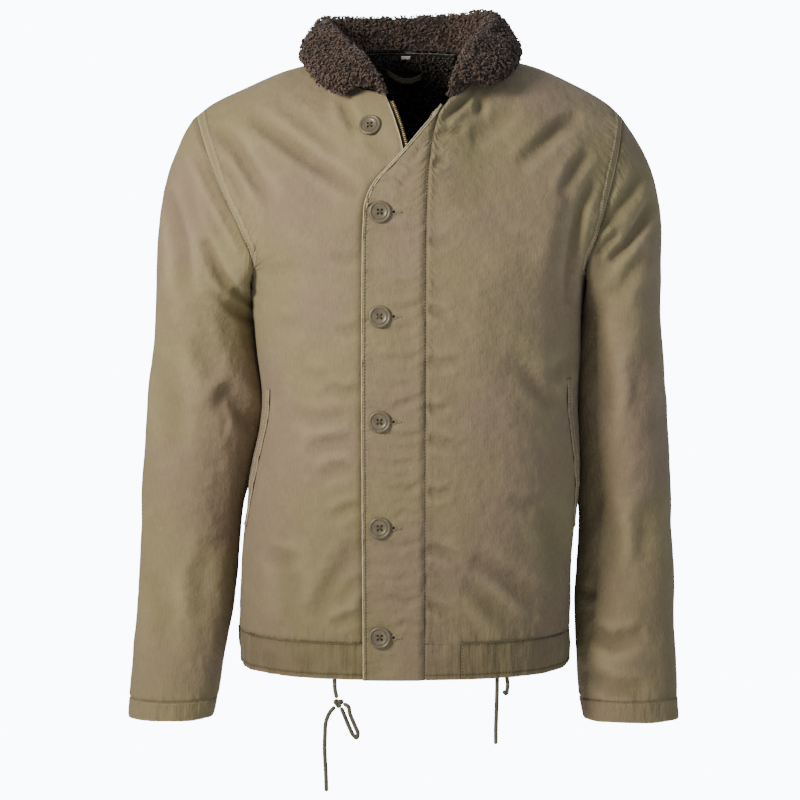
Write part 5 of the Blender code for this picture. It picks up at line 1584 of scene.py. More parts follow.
def build_sleeve(side, seed):
    """A sleeve with its folds, its eased cap and its hem."""
    grid = sleeve_grid(side)
    grid = folded(grid, LARGE_FRONT, LARGE_BACK, FOLD_EASE, True)
    normals = grid_normals(grid, wrap=True)
    down = edge_runs(grid)["bottom"]
    up = edge_runs(grid)["top"]
    round_it = np.linspace(0, 1, grid.shape[1], endpoint=False) * 2 * math.pi
    near = np.stack([np.cos(round_it), np.sin(round_it)]) * SLEEVE_RADIUS
    relief = 0.0015 * swell(near[0] / 0.036 + 7, down / 0.052 + near[1] / 0.036, seed)
    relief += 0.0006 * swell(near[0] / 0.015 + 9, down / 0.022 + near[1] / 0.015, seed + 1)
    relief += 0.00015 * swell(round_it * SLEEVE_RADIUS / 0.0075, down / 0.010, seed + 2)
    arm = SLEEVE_RADIUS * round_it
    fade = smooth_step(np.minimum(round_it, 2 * math.pi - round_it) / 0.3)
    relief += fade * puckers(arm, down, "sleeve cap", seed + 3)
    relief += fade * puckers(arm, up, "sleeve end", seed + 5)
    relief *= smooth_step(np.minimum(down, up) / SEAM_EASE)
    facing = smooth_step(0.5 - 1.5 * normals[..., 1])
    crease_shade_and_dye, ridges = (facing * one + (1 - facing) * other for one, other in
                       zip(crease_marks(grid, SMALL_FRONT), crease_marks(grid, SMALL_BACK)))
    grid = grid + normals * relief[..., None]
    grid = folded(grid, SMALL_FRONT, SMALL_BACK,
                  SMALL_FOLD_EASE, True)
    push = side_gap(grid[..., 2], side) * smooth_step((-np.cos(round_it) - 0.45) / 0.5)
    grid = grid + push[..., None] * np.array([-WAY[side], 0, 0])
    normals = grid_normals(grid, wrap=True)
    normals[0] = keep_off(normals[0], SLEEVE_AXIS[side], -1)
    normals[-1] = unit(normals[-1] * [1, 1, 0])
    wear = 0.25 * bell(down, 0.0012)
    # painted shade at the cuff seam, and a painted shadow on the sleeve just below the armhole seam
    shade_and_dye = 0.30 * bell(up, 0.0022) + 0.80 * bell(down - 0.0015, 0.0030)
    gathers = (0.0, np.exp(-down / 0.014) + np.exp(-up / 0.010))
    cloth_piece(f"sleeve_{side}_cloth", grid, normals, CLOTH, [f"sleeve_{side}"],
                wrap=True, wear=wear + ridges, shade_and_dye=shade_and_dye + crease_shade_and_dye, gathers=gathers)
    heights = CUFF_SEAM + (CUFF_BOTTOM[side] - CUFF_SEAM) * crowded(16, 0.4)
    hem = np.array([sleeve_section(np.full(len(round_it), z), side, round_it) for z in heights])
    normals = grid_normals(hem, wrap=True)
    low = edge_runs(hem)["top"]
    top = edge_runs(hem)["bottom"]
    relief = fade * 0.0008 * swell(arm / 0.0085, top / 0.030, seed + 7)
    relief += fade * puckers(arm, top, "sleeve hem", seed + 8)
    relief += 0.0006 * smooth_step(top / 0.004) - 0.0004 * bell(low, 0.0012)
    relief *= smooth_step(top / SEAM_EASE)
    hem = hem + normals * relief[..., None]
    hem[..., 2] -= 0.0008 * fade * smooth_step(top / 0.02) * swell(arm / 0.022, 0.5, seed + 11)
    normals = grid_normals(hem, wrap=True)
    wear = 0.35 * bell(low, 0.0014)
    # painted shade at the hem's seam
    shade_and_dye = 0.25 * bell(top, 0.0016)
    cloth_piece(f"sleeve_hem_{side}_cloth", hem, normals, CLOTH,
                [f"sleeve_hem_{side}"], wrap=True, wear=wear, shade_and_dye=shade_and_dye, gathers=(0.0, 0.6))
    line, outs = inset(hem, normals, "bottom", 0.0022)
    sew("tan", (np.concatenate([line, line[:1]]), np.concatenate([outs, outs[:1]])))


build_sleeve("right", 200)
build_sleeve("left", 230)

# %% [markdown]
# The fly is a separate strip. It is sewn to the left front along one side, lies over the zip, and
# its free edge is bound in a folded cream edge that shows as two pale lines along the slant.

# %% Fly strip
FLY_COLUMNS = 38
FLY_STITCH = 0.0034
fly_heights = np.concatenate([band[:-1, 0, 2], left_base[:, 0, 2]])
fly_heights = np.append(fly_heights[fly_heights < FLY_TOP - 0.0005], FLY_TOP)
seam = fly_seam(fly_heights)
free = curve(fly_heights, FLY_EDGE[:, 0], FLY_EDGE[:, 1])
x = seam[:, None] + (free - seam)[:, None] * crowded(FLY_COLUMNS, 0.55)
z = np.broadcast_to(fly_heights[:, None], x.shape)
fly_normals = body_normal(x, z, "front")
lift = FLY_LIFT * smooth_step((seam[:, None] - x) / FLY_RISE)
fly = body_point(x, z, "front") + fly_normals * lift[..., None]
runs = edge_runs(fly)
near_neck = smooth_step((fly[..., 2] + 0.20) / 0.08)
relief = unevenness(runs, 0.0006, 300)
relief += puckers(runs["bottom"], runs["first"], "fly strip seam", 302)
relief += puckers(runs["bottom"], np.abs(runs["last"] - FLY_STITCH), "fly edge", 304)
relief += near_neck * puckers(runs["bottom"], runs["last"], "fly edge at the neck", 306)
relief += turned_edge(runs["last"], FLY_STITCH, 0.0006)
relief += 0.0006 * bell(runs["first"] - 0.004, 0.0025)
relief += 0.0007 * swell(runs["bottom"] / 0.0110, runs["first"] / 0.045, 310)
relief *= smooth_step(runs["first"] / 0.0020)
gathers = 0.22 + 0.3 * np.exp(-runs["first"] / 0.005)
gathers = gathers + 0.5 * np.exp(-np.abs(runs["last"] - FLY_STITCH) / 0.006)
drawn = 1.3 * fold_depth(fly, FLY_FOLDS) * smooth_step(runs["first"] / 0.0020)
fly = fly + fly_normals * (relief - drawn)[..., None]
fly_normals = grid_normals(fly)
# painted shade along the seam, in the stitch groove and in the drawn folds
shade_and_dye = 0.45 * bell(runs["first"], 0.0014)
shade_and_dye = shade_and_dye + 0.35 * bell(runs["last"] - FLY_STITCH, 0.0009)
shade_and_dye = shade_and_dye + 0.18 * np.clip(drawn / 0.003, 0, 1)
wear = 0.45 * bell(runs["last"], 0.0012)
cloth_piece("fly_strip_cloth", fly, fly_normals, FLY_CLOTH, ["fly_strip"],
            wear=wear, shade_and_dye=shade_and_dye, inside=shell, gathers=(gathers + 0.5 * near_neck, 0.0))
sew("dark", inset(fly, fly_normals, "first", 0.0010))
sew("dark", inset(fly, fly_normals, "last", FLY_STITCH, slice(0, -2)))

# %% [markdown]
# One thin folded edge follows the fly's free side, a second one its slant only, and a third the
# upper right front beside the zip. Each is a slim round roll, partly sunk in the cloth.

# %% Pale folded edges
ROLL_D = 0.0010
ROLL_STEP = 0.003
rolls = []
line, outs = inset(fly, fly_normals, "last", 0.0004, lift=0.0003)
rolls.append(line)
slanted = fly[:, -1, 2] > -0.1660
line, outs = inset(fly, fly_normals, "last", 0.0030, np.flatnonzero(slanted), lift=0.0003)
rolls.append(line)
line, outs = inset(*right_front, "first", 0.0004)
rolls.append(line[line[:, 2] > -0.138])
points, faces = [], []
for line in rolls:
    even = along(line[::3], np.linspace(0, 1, int(run_along(line)[-1] / ROLL_STEP)))
    some, sides = tube(even, ROLL_D / 2, 8)
    faces += [[corner + sum(map(len, points)) for corner in side] for side in sides]
    points.append(some)
place_piece("folded_edges", plain_mesh("rolls", np.concatenate(points), faces, [piping]),
            "shell_cloth")
print("folded edges:", len(rolls))

# %% [markdown]
# The zip shows only in the open V of the neck: olive tape behind each front edge, and brass teeth
# 2.4 mm apart along the tape. Teeth are small blocks with bevelled edges, repeated by the tree,
# and each tape's edge is 1.8 mm deeper where the fly lies over it.

# %% Zip tapes and teeth
TOOTH_PITCH = 0.0024
TOOTH = (0.0011, 0.0040, 0.0017)
UNDER_FLY = (-0.116, -0.102)
UNDER_FLY_DEPTH = 0.0018


def block(size, bevel):
    """A small block with bevelled edges."""
    shape = bmesh.new()
    bmesh.ops.create_cube(shape, size=1.0)
    bmesh.ops.scale(shape, vec=size, verts=shape.verts)
    bmesh.ops.bevel(shape, geom=shape.edges[:], offset=bevel, segments=1, affect="EDGES")
    mesh = bpy.data.meshes.new("block")
    shape.to_mesh(mesh)
    shape.free()
    return mesh


def zip_side(side, base, normals, top, reach):
    """A zip tape behind a front edge, and where its teeth stand."""
    rows = np.flatnonzero((base[:, 0, 2] > HEM + 0.010) & (base[:, 0, 2] < top))
    behind = CLOTH + TAPE_GAP
    runs = edge_runs(base)["first"]
    inner = np.array([between(0.012, runs[r], base[r]) for r in rows])
    sewn = inner - normals[rows, 4] * (behind + 0.0035)
    edge = base[rows, 0] - normals[rows, 0] * behind
    out = unit(edge - sewn)
    sunk = np.interp(edge[:, 2], UNDER_FLY, (UNDER_FLY_DEPTH, 0.0))
    far = edge + out * reach(edge)[:, None] - normals[rows, 0] * sunk[:, None]
    shares = np.linspace(0, 1, 9)[:, None, None]
    grid = np.swapaxes(sewn + (far - sewn) * shares, 0, 1)
    grid_out = grid_normals(grid)
    cloth_piece(f"zip_tape_{side}_cloth", grid, grid_out, TAPE, [f"zip_tape_{side}"],
                outside=zip_tape, inside=zip_tape)
    teeth = far - out * (TOOTH[1] / 2 - 0.0006)
    return spaced(teeth, grid_out[:, -1], TOOTH_PITCH)


places, ways, outs = zip_side("right", right_base, right_base_normals, -0.0480,
                              lambda edge: np.full(len(edge), RIGHT_TAPE_OUT))
more = zip_side("left", left_base, left_base_normals, -0.0580,
                lambda edge: edge[:, 0] - curve(edge[:, 2], LEFT_TAPE_EDGE[:, 0],
                                                LEFT_TAPE_EDGE[:, 1]))
places, ways, outs = (np.concatenate(pair) for pair in zip((places, ways, outs), more))
repeated("zip_teeth", block(TOOTH, 0.0003), brass, "zip_brass", places - outs * (TAPE / 2), ways,
         outs)
frame["nodes"]["zip_slider"].data.materials.clear()
frame["nodes"]["zip_slider"].data.materials.append(brass)

# %% [markdown]
# The slanted pockets have a narrow edge of doubled cloth, stitched twice, that lies near the side
# of each front. The stitching draws it into small scallops.

# %% Pocket edges
WELTS = {
    # side: lowest height, highest height, angle round the body at the bottom and at the top
    "right": (-0.510, -0.355, 80, 70),
    "left": (-0.510, -0.345, 80, 68),
}


def on_grid(grid, row, column):
    """Points between a grid's own, at fractional rows and columns."""
    row, column = np.broadcast_arrays(row, column)
    low = np.clip(np.floor(row).astype(int), 0, grid.shape[0] - 2)
    side = np.clip(np.floor(column).astype(int), 0, grid.shape[1] - 2)
    up, over = (row - low)[..., None], (column - side)[..., None]
    below = grid[low, side] * (1 - over) + grid[low, side + 1] * over
    above = grid[low + 1, side] * (1 - over) + grid[low + 1, side + 1] * over
    return below * (1 - up) + above * up


for side, front, angles in (("right", right_front[0], right_angles),
                            ("left", left_front[0], left_angles)):
    bottom, top, steep, slanted = WELTS[side]
    row = np.flatnonzero((front[:, 0, 2] > bottom) & (front[:, 0, 2] < top))[:, None]
    turn = np.radians(np.linspace(steep, slanted, len(row)))[:, None]
    turn = turn + np.radians(np.linspace(-2.6, 2.6, 15))
    column = np.interp(turn, angles, np.arange(len(angles)))
    normals = unit(on_grid(grid_normals(front), row, column))
    grid = on_grid(front, row, column) + normals * (WELT_STAND + WELT_CLOTH)
    runs = edge_runs(grid)
    edge = np.minimum(runs["first"], runs["last"])
    relief = puckers(runs["bottom"], edge, "pocket edge", 340)
    relief -= 0.0004 * bell(edge - 0.0014, 0.0007)
    wear = 0.5 * bell(edge, 0.0008)
    # painted shade in the stitch grooves
    shade_and_dye = 0.3 * bell(edge - 0.0014, 0.0007)
    grid = grid + normals * relief[..., None]
    cloth_piece(f"pocket_welt_{side}_cloth", grid, normals, WELT_CLOTH,
                [f"pocket_welt_{side}"], wear=wear, shade_and_dye=shade_and_dye, inside=shell, gathers=(1.0, 0.0))
    for edge in ("first", "last"):
        sew("pale", inset(grid, normals, edge, 0.0014))

# %% [markdown]
# The collar rolls from the neckline up over a soft crest and down outside. Its backing is a
# thick cloth, a little lumpy, and the curls that stand on it make the pile.

# %% Collar backing
COLLAR_SEAM = 0.0036
COLLAR_GAP = 0.0012
PILE_COLLAR = 0.0090
PILE_COLLAR_END = 0.0070
PILE_INSET = 0.0016
PILE_LUMP = 0.0046
COLLAR_STATIONS = 113
COLLAR_SECTION = 49
COLLAR = [
    # name, share of the neckline, and in millimetres crest, edge and room beside the crest
    ("end right", 0.000, (-31, -104, -29), (-69, -85, -43), 3.5),
    ("wing right", 0.040, (-43, -89, -11), (-85, -80, -36), 6),
    ("front right", 0.110, (-59, -60, 7), (-98.5, -56, -23), 6.8),
    ("side right", 0.235, (-81, -15, 29), (-111, -10, -2), 7.2),
    ("behind right", 0.345, (-89, 29, 41.5), (-108, 42, -6), 7.5),
    ("turn right", 0.410, (-60, 59, 44), (-80, 76, -17), 7.5),
    ("middle", 0.510, (2, 72, 45), (2, 90, -19), 7.5),
    ("turn left", 0.620, (64, 61, 49), (86, 78, -14), 7.5),
    ("behind left", 0.690, (96, 31, 48.5), (119, 42, -3), 7.5),
    ("side left", 0.790, (91.5, -15, 33), (124, -12, 1), 7.2),
    ("front left", 0.890, (75, -52, 13), (115, -50, -18), 6.8),
    ("wing left", 0.955, (65.5, -78, -6), (100, -72, -28), 6),
    ("end left", 1.000, (56, -96, -25), (83, -83, -35), 3.5),
]


def neckline_points():
    """The neckline on the body, from the right front round the back to the left front."""
    right, left = NECKLINES["right", "front"], NECKLINES["left", "front"][::-1]
    back = np.concatenate([NECKLINES["right", "back"][::-1], NECKLINES["left", "back"][1:]])
    return np.concatenate([body_point(right[:, 0], right[:, 1], "front"),
                           body_point(back[:, 0], back[:, 1], "back")[1:-1],
                           body_point(left[:, 0], left[:, 1], "front")])


def collar_sections():
    """The middle of the collar's thickness, station by station, and its thickness."""
    shares = np.array([row[1] for row in COLLAR])
    crest, edge, room = (MM * np.array([row[k] for row in COLLAR]) for k in (2, 3, 4))
    stations = np.linspace(0, 1, COLLAR_STATIONS)
    order = np.linspace(0, 1, len(COLLAR))
    base = along(neckline_points(), curve(stations, order, shares))
    crest = curve(stations, order, crest, held=False)
    edge = curve(stations, order, edge, held=False)
    room = curve(stations, order, room)[:, None]
    out = unit((edge - base) * [1, 1, 0])
    inward = unit((crest - base) - out * 0.012)
    base = base + inward * COLLAR_GAP - out * 0.0015
    up = np.array([0, 0, 1.0])
    stand = crest - out * room - up * room * 0.8
    fall = crest + out * room - up * room * 0.8
    bulge = (fall + edge) / 2 + out * 0.003 + up * 0.003
    lines = np.stack([base, (base + stand) / 2, stand, crest, fall, bulge, edge], axis=1)
    sections = np.array([along(line, np.linspace(0, 1, COLLAR_SECTION)) for line in lines])
    ends = np.sin(np.pi * stations) ** 0.35
    thick = PILE_COLLAR_END + (PILE_COLLAR - PILE_COLLAR_END) * ends[:, None]
    seam = np.clip(np.linspace(0, 1, COLLAR_SECTION) / 0.25, 0, 1)
    return sections, COLLAR_SEAM + (thick - COLLAR_SEAM) * seam


sections, thick = collar_sections()
sections_up = np.swapaxes(sections, 0, 1)
thick = thick.T
collar_normals = unit(np.cross(np.gradient(sections_up, axis=0), np.gradient(sections_up, axis=1)))
if collar_normals[COLLAR_SECTION // 2, :, 2].mean() < 0:
    collar_normals = -collar_normals
runs = edge_runs(sections_up)
lumps = swell(runs["first"] / PILE_LUMP, runs["bottom"] / PILE_LUMP, 400)
lumps = 0.0007 * lumps + 0.0010 * swell(runs["first"] / 0.021, runs["bottom"] / 0.018, 402)
near = np.minimum(np.minimum(runs["first"], runs["last"]), runs["top"])
round_edge = 0.5 * (1 - np.sqrt(np.clip(1 - (1 - np.clip(near / 0.006, 0, 1)) ** 2, 0, 1)))
outer = sections_up + collar_normals * (thick * (0.5 - round_edge) - PILE_INSET
                                        * smooth_step(runs["bottom"] / 0.01) + lumps)[..., None]
inner = sections_up - collar_normals * (thick * (0.5 - round_edge) - 0.0010)[..., None]
collar_wall = np.maximum(np.einsum("ijk,ijk->ij", outer - inner, collar_normals), 0.0008)
# a low tip mark: the backing takes the pile's nearly black painted root shade
cloth_piece("collar_backing", outer, collar_normals, collar_wall, ["collar"], "pile_cloth",
            outside=collar_pile, inside=collar_pile, pile=0.12)

# %% [markdown]
# A curl is a short thread that bends over on itself. Four different curls are scattered thickly
# over the collar, each turned and sized at random with a fixed seed. Their tips are marked, so
# that the material can paint their roots nearly black, as painted shade deep in the pile, and
# their tips paler.

# %% The collar's curls
CURL_COUNT = 6200
CURL_RINGS = 5
CURL_KINDS = [
    # turns of the curl, its radius, its height, the thread's radius
    (0.95, 0.00150, 0.0030, 0.00080),
    (0.75, 0.00175, 0.0026, 0.00086),
    (1.10, 0.00130, 0.0034, 0.00074),
    (0.60, 0.00200, 0.0024, 0.00082),
]


def curl(turns, radius, height, thread):
    """A curled thread, closed at both ends, with its tip marked."""
    t = np.linspace(0, 1, CURL_RINGS)
    angle = 2 * math.pi * turns * t
    grow = radius * np.sin(math.pi * (0.15 + 0.75 * t))
    path = np.stack([grow * np.cos(angle), grow * np.sin(angle),
                     height * np.sin(0.62 * math.pi * t) - 0.0004], axis=-1)
    ahead = unit(np.gradient(path, axis=0))
    side = unit(np.cross(ahead, (0.2, 0.1, 1.0)))
    other = np.cross(ahead, side)
    rings = []
    for number in range(CURL_RINGS):
        reach = thread * (1.0 if number < CURL_RINGS - 1 else 0.55)
        for corner in (0, 120, 240):
            a = math.radians(corner)
            rings.append(path[number] + reach * (math.cos(a) * side[number]
                                                 + math.sin(a) * other[number]))
    faces = []
    for number in range(CURL_RINGS - 1):
        for corner in range(3):
            after = (corner + 1) % 3
            faces.append([number * 3 + corner, number * 3 + after,
                          number * 3 + 3 + after, number * 3 + 3 + corner])
    faces += [[2, 1, 0], [CURL_RINGS * 3 - 3, CURL_RINGS * 3 - 2, CURL_RINGS * 3 - 1]]
    mesh = plain_mesh("curl", rings, faces, [])
    mark(mesh, "tip", np.repeat(0.15 + 0.85 * t, 3))
    return mesh


def scatter(grid, normals, count, seed, weight=None):
    """Random places spread evenly over a grid's surface, with the way out and a random heading."""
    rng = np.random.default_rng(seed)
    a = grid[1:, :-1] - grid[:-1, :-1]
    b = grid[:-1, 1:] - grid[:-1, :-1]
    area = np.linalg.norm(np.cross(a, b), axis=-1)
    if weight is not None:
        area = area * weight[:-1, :-1]
    chance = (area / area.sum()).ravel()
    cells = np.repeat(np.arange(len(chance)), rng.multinomial(count, chance))
    row, column = cells // area.shape[1], cells % area.shape[1]
    row, column = row + rng.random(len(cells)), column + rng.random(len(cells))
    places, outs = on_grid(grid, row, column), unit(on_grid(normals, row, column))
    heading = rng.normal(size=places.shape)
    heading = unit(heading - outs * (heading * outs).sum(axis=1, keepdims=True))
    leaned = unit(outs + 0.28 * rng.normal(size=outs.shape))
    return places, heading, leaned, rng.uniform(0.8, 1.25, len(cells))[:, None] * np.ones(3)


collar_out = grid_normals(outer)
if (collar_out * collar_normals).sum() < 0:
    collar_out = -collar_out
steps = np.linspace(0, 1, COLLAR_STATIONS)[None, :]
section = np.linspace(0, 1, COLLAR_SECTION)[:, None]
ends = smooth_step(1.6 - np.minimum(steps, 1 - steps) / 0.13)
under = np.maximum(ends, 0.8 * smooth_step((section - 0.80) / 0.08))
for number, kind in enumerate(CURL_KINDS):
    scattered = [scatter(outer, collar_out, CURL_COUNT // 4, 500 + number),
                 scatter(inner, -collar_normals, CURL_COUNT // 10, 520 + number, under)]
    places, heading, leaned, sizes = (np.concatenate(pair) for pair in zip(*scattered))
    repeated(f"collar_curls_{number + 1}", curl(*kind), collar_pile, "pile_cloth", places, heading,
             leaned, sizes)

# %% [markdown]
# Behind the open neck the back's pile lining shows, nearly black. It gets lumps and darker curls,
# the tape loop that the jacket hangs by, and a small blank tab under the collar seam.

# %% Lining, hanger loop and neck tab
LOOP_STAND = 0.0090
TAB_ROOM = 0.0030
LOOP_WIDTH = 0.0056
middle = BACK_COLUMNS + 3
half_span = BACK_COLUMNS // 4 + 4
rows = base[:, middle, 2] > LINING_BOTTOM
columns = slice(middle - half_span, middle + half_span + 1)
patch, directions = base[rows][:, columns], base_normals[rows][:, columns]
runs = edge_runs(patch)
lumps = 0.0007 * swell(runs["first"] / PILE_LUMP, runs["bottom"] / PILE_LUMP, 600)
patch = patch - directions * (CLOTH + 0.0025 * smooth_step(runs["top"] / 0.03))[..., None]
keep_in = smooth_step(runs["top"] / 0.004)[..., None]
# a very low tip mark: the lining takes the nearly black painted root shade
cloth_piece("lining_back_pile", patch, directions, LINING + (lumps * keep_in[..., 0]),
            ["lining_back"], "lining_cloth", outside=lining_pile, inside=lining_pile, pile=0.06)
pile_side = patch - directions * LINING
seen = smooth_step((patch[..., 2] + 0.150) / 0.03)
seen = seen + 2.0 * smooth_step((patch[..., 2] + 0.02) / 0.02)
for number, kind in enumerate(CURL_KINDS[:2]):
    places, heading, leaned, sizes = scatter(pile_side, -directions, 560, 610 + number, seen)
    clear = (np.abs(places[:, 0] - 0.001) > 0.0085) | (places[:, 2] < TAB_ROOM)
    repeated(f"lining_curls_{number + 1}", curl(*kind), lining_pile, "lining_cloth", places[clear],
             heading[clear], leaned[clear], sizes[clear])
seam_columns = np.abs(base[-1, :, 0]) < 0.078
rim_line = base[-1, seam_columns] + np.array([0, 0, 0.0004])
rim_out = unit(np.array([0, -0.7, 1.0]) + 0 * rim_line)
for number, kind in enumerate(CURL_KINDS[1:3]):
    strip = np.stack([rim_line + [0, -0.0075, -0.0004], rim_line + [0, 0.0010, 0.0010]])
    out = np.stack([rim_out, rim_out])
    places, heading, leaned, sizes = scatter(strip, out, 420, 640 + number)
    clear = (np.abs(places[:, 0] - 0.001) > 0.0070) | (places[:, 2] > rim_line[:, 2].max() + 0.0006)
    repeated(f"neck_seam_curls_{number + 1}", curl(*kind), lining_pile, "lining_cloth",
             places[clear], heading[clear], leaned[clear], 0.75 * sizes[clear])
share = np.linspace(0, 1, 41)[:, None]
z = -0.0068 - 0.0050 * share - 0.0025 * np.sin(np.pi * share)
z = z + np.linspace(-LOOP_WIDTH / 2, LOOP_WIDTH / 2, 7)
x = np.broadcast_to(-0.0225 + 0.0430 * share, z.shape)
stand = np.broadcast_to(LOOP_STAND * np.sin(np.pi * share) ** 0.7, z.shape)
inside = -(CLOTH + LINING + 0.0013)
normals = body_normal(x, z, "back")
grid = body_point(x, z, "back") + normals * (inside - stand)[..., None]
cloth_piece("hanger_loop_tape", grid, normals, TAPE, ["hanger_loop"], "cord_cotton",
            outside=loop_tape, inside=loop_tape)
frame["nodes"]["neck_tab"].data.materials.clear()
frame["nodes"]["neck_tab"].data.materials.append(tab_tape)

# %% [markdown]
# The buttons are moulded: a rounded rim, a groove inside it and a dished middle with four holes.
# The profile is turned round its axis, the holes are cut, and crossed threads fill them.

# %% A button's profile
BUTTON_TURNS = 56
HOLE_PITCH = 0.0020
HOLE_D = 0.0027
BUTTON_PROFILE = [
    # radius and height in millimetres, from the middle of the face round the rim to the back
    (0.4, 1.8), (4.6, 1.8), (6, 2.1), (6.8, 2.6), (7.4, 2.6),
    (7.9, 2), (8.4, 2), (9, 2.8), (9.8, 3.2), (10.7, 3.1),
    (11.4, 2.5), (11.75, 1.7), (11.4, 0.9), (10, 0.2), (0.4, 0),
]
BUTTONS = [
    # across, height, how far the cloth under it is lifted
    (-0.0370, -0.0766, 0.0),
    (-0.0263, -0.1675, FLY_LIFT),
    (-0.0263, -0.2766, FLY_LIFT),
    (-0.0264, -0.3862, FLY_LIFT),
    (-0.0264, -0.4974, FLY_LIFT),
    (-0.0265, -0.6133, FLY_LIFT),
]


def turned(profile, turns):
    """A closed body turned from a profile that starts and ends near the axis."""
    angle = np.linspace(0, 2 * math.pi, turns, endpoint=False)
    points = np.stack([profile[:, :1] * np.cos(angle), profile[:, :1] * np.sin(angle),
                       profile[:, 1:] + 0 * angle], axis=-1).reshape(-1, 3)
    index = np.arange(len(points)).reshape(len(profile), turns)
    after = np.roll(index, -1, axis=1)
    faces = np.stack([index[:-1], index[1:], after[1:], after[:-1]], axis=-1).reshape(-1, 4)
    return points, faces.tolist() + [index[0].tolist(), index[-1, ::-1].tolist()]


# %% [markdown]
# The holes are cut with a boolean, which keeps their walls, and each button is then stood on
# the cloth under it by one matrix.

# %% Drill the buttons and stand them on the cloth


def drilled_button():
    """A button's mesh with its four holes cut."""
    points, faces = turned(MM * np.array(BUTTON_PROFILE), BUTTON_TURNS)
    blank = bpy.data.objects.new("blank", plain_mesh("blank", points, faces, [urea]))
    shape = bmesh.new()
    for right, up in ((-1, -1), (1, -1), (1, 1), (-1, 1)):
        bmesh.ops.create_cone(shape, cap_ends=True, segments=14, depth=0.02, radius1=HOLE_D / 2,
                              radius2=HOLE_D / 2, matrix=Matrix.Translation(
                                  (right * HOLE_PITCH, up * HOLE_PITCH, 0)))
    drills = bpy.data.meshes.new("drills")
    shape.to_mesh(drills)
    shape.free()
    drill = bpy.data.objects.new("drill", drills)
    for made in (blank, drill):
        bpy.context.scene.collection.objects.link(made)
    cut = blank.modifiers.new("holes", "BOOLEAN")
    cut.object = drill
    cut.solver = "EXACT"
    shown = blank.evaluated_get(bpy.context.evaluated_depsgraph_get())
    mesh = bpy.data.meshes.new_from_object(shown)
    for made in (blank, drill):
        bpy.data.objects.remove(made)
    return mesh


def button_place(x, z, lift):
    """The matrix that stands a button on the cloth, its own +Z out of it."""
    x, z = np.array(x), np.array(z)
    out = Vector(body_normal(x, z, "front"))
    place = Vector(body_point(x, z, "front")) + out * (lift + 0.0003)
    across = (Vector((1, 0, 0)) - out * out.x).normalized()
    turned_to = Matrix((across, out.cross(across), out)).transposed().to_4x4()
    return Matrix.Translation(place) @ turned_to


button_mesh = drilled_button()
cross_points, cross_faces = [], []
for way in (1, -1):
    t = np.linspace(-1, 1, 9)
    arc = np.stack([t * HOLE_PITCH, way * t * HOLE_PITCH,
                    0.0013 + 0.0011 * np.sqrt(np.clip(1 - t**4, 0, 1)) + 0.0002 * way], axis=-1)
    some, sides = tube(arc, 0.00022, 6)
    cross_faces += [[c + sum(map(len, cross_points)) for c in side] for side in sides]
    cross_points.append(some)
cross_points = np.concatenate(cross_points)
for number, (x, z, lift) in enumerate(BUTTONS, 1):
    matrix = button_place(x, z, lift)
    mesh = button_mesh.copy()
    mesh.transform(matrix)
    mesh.polygons.foreach_set("use_smooth", np.ones(len(mesh.polygons), bool))
    mesh.set_sharp_from_angle(angle=math.radians(50))
    place_piece(f"button_{number}_moulded", mesh, "button_plastic", f"button_{number}")
    thread = plain_mesh(f"button_{number}_thread", cross_points, cross_faces, [dark_thread])
    thread.transform(matrix)
    place_piece(f"button_{number}_thread", thread, "button_plastic")
print("triangles in a button:", len(button_mesh.loop_triangles) or len(button_mesh.polygons))

# %% [markdown]
# Each buttonhole has a round eye that shows beside its button and a stitched bar that runs on
# into the fly. The eye is a dark disc laid on the cloth, a painted shadow for its hole. Short
# stitches stand side by side round the eye, across the edge of the hole.

# %% Buttonholes
EYE_AT = 0.0146
EYE_R = 0.0017
PURL = 0.0026
slit_places, slit_ways, slit_outs = [], [], []
eyes, eye_faces = [], []
for x, z, lift in BUTTONS[1:]:
    matrix = np.array(button_place(x, z, lift))
    outline = []
    for angle in np.linspace(math.radians(-150), math.radians(150), 13):
        outline.append((EYE_AT + (EYE_R + 0.0008) * math.cos(angle),
                        (EYE_R + 0.0008) * math.sin(angle), math.cos(angle), math.sin(angle)))
    for step in range(5):
        for way in (-1, 1):
            outline.append((EYE_AT - 0.0022 - 0.0008 * step, way * 0.0011, 0.0, way))
    for step in range(5):
        outline.append((EYE_AT + 0.0036 + 0.0009 * step, 0.0, 0.25, 1.0))
    for u, v, way_u, way_v in outline:
        slit_places.append(matrix[:3, :3] @ (u, v, 0.0001) + matrix[:3, 3])
        slit_ways.append(matrix[:3, :3] @ (way_u, way_v, 0.0))
        slit_outs.append(matrix[:3, 2])
    ring = [matrix[:3, :3] @ (EYE_AT + EYE_R * math.cos(a), EYE_R * math.sin(a), 0.0001)
            + matrix[:3, 3] for a in np.linspace(0, 2 * math.pi, 16, endpoint=False)]
    eye_faces.append([len(eyes) + k for k in range(16)])
    eyes += ring
# painted shadow: a dark disc stands for the shaded hole of each eye
painted_eye_shadow = mottled("buttonhole eye, painted shadow", "#17140e", "#1f1b14", 300.0, 0.95)
eye_mesh = plain_mesh("buttonhole_eyes", eyes, eye_faces, [painted_eye_shadow])
place_piece("buttonhole_eyes", eye_mesh, "shell_cloth")


def stitch(length, thread):
    """One stitch: a short rounded thread that lies along X."""
    shape = bmesh.new()
    bmesh.ops.create_icosphere(shape, subdivisions=1, radius=1.0)
    bmesh.ops.scale(shape, vec=(length / 2, thread / 2, thread / 2), verts=shape.verts)
    mesh = bpy.data.meshes.new("stitch")
    shape.to_mesh(mesh)
    shape.free()
    return mesh


repeated("buttonhole_stitches", stitch(PURL, 0.00085), tan_thread, "shell_cloth",
         slit_places, slit_ways, slit_outs)

# %% [markdown]
# All the seams are sewn now, one piece for each thread. The stitches are 3.4 mm apart, and their
# thread is drawn thicker than the real one so that it shows.

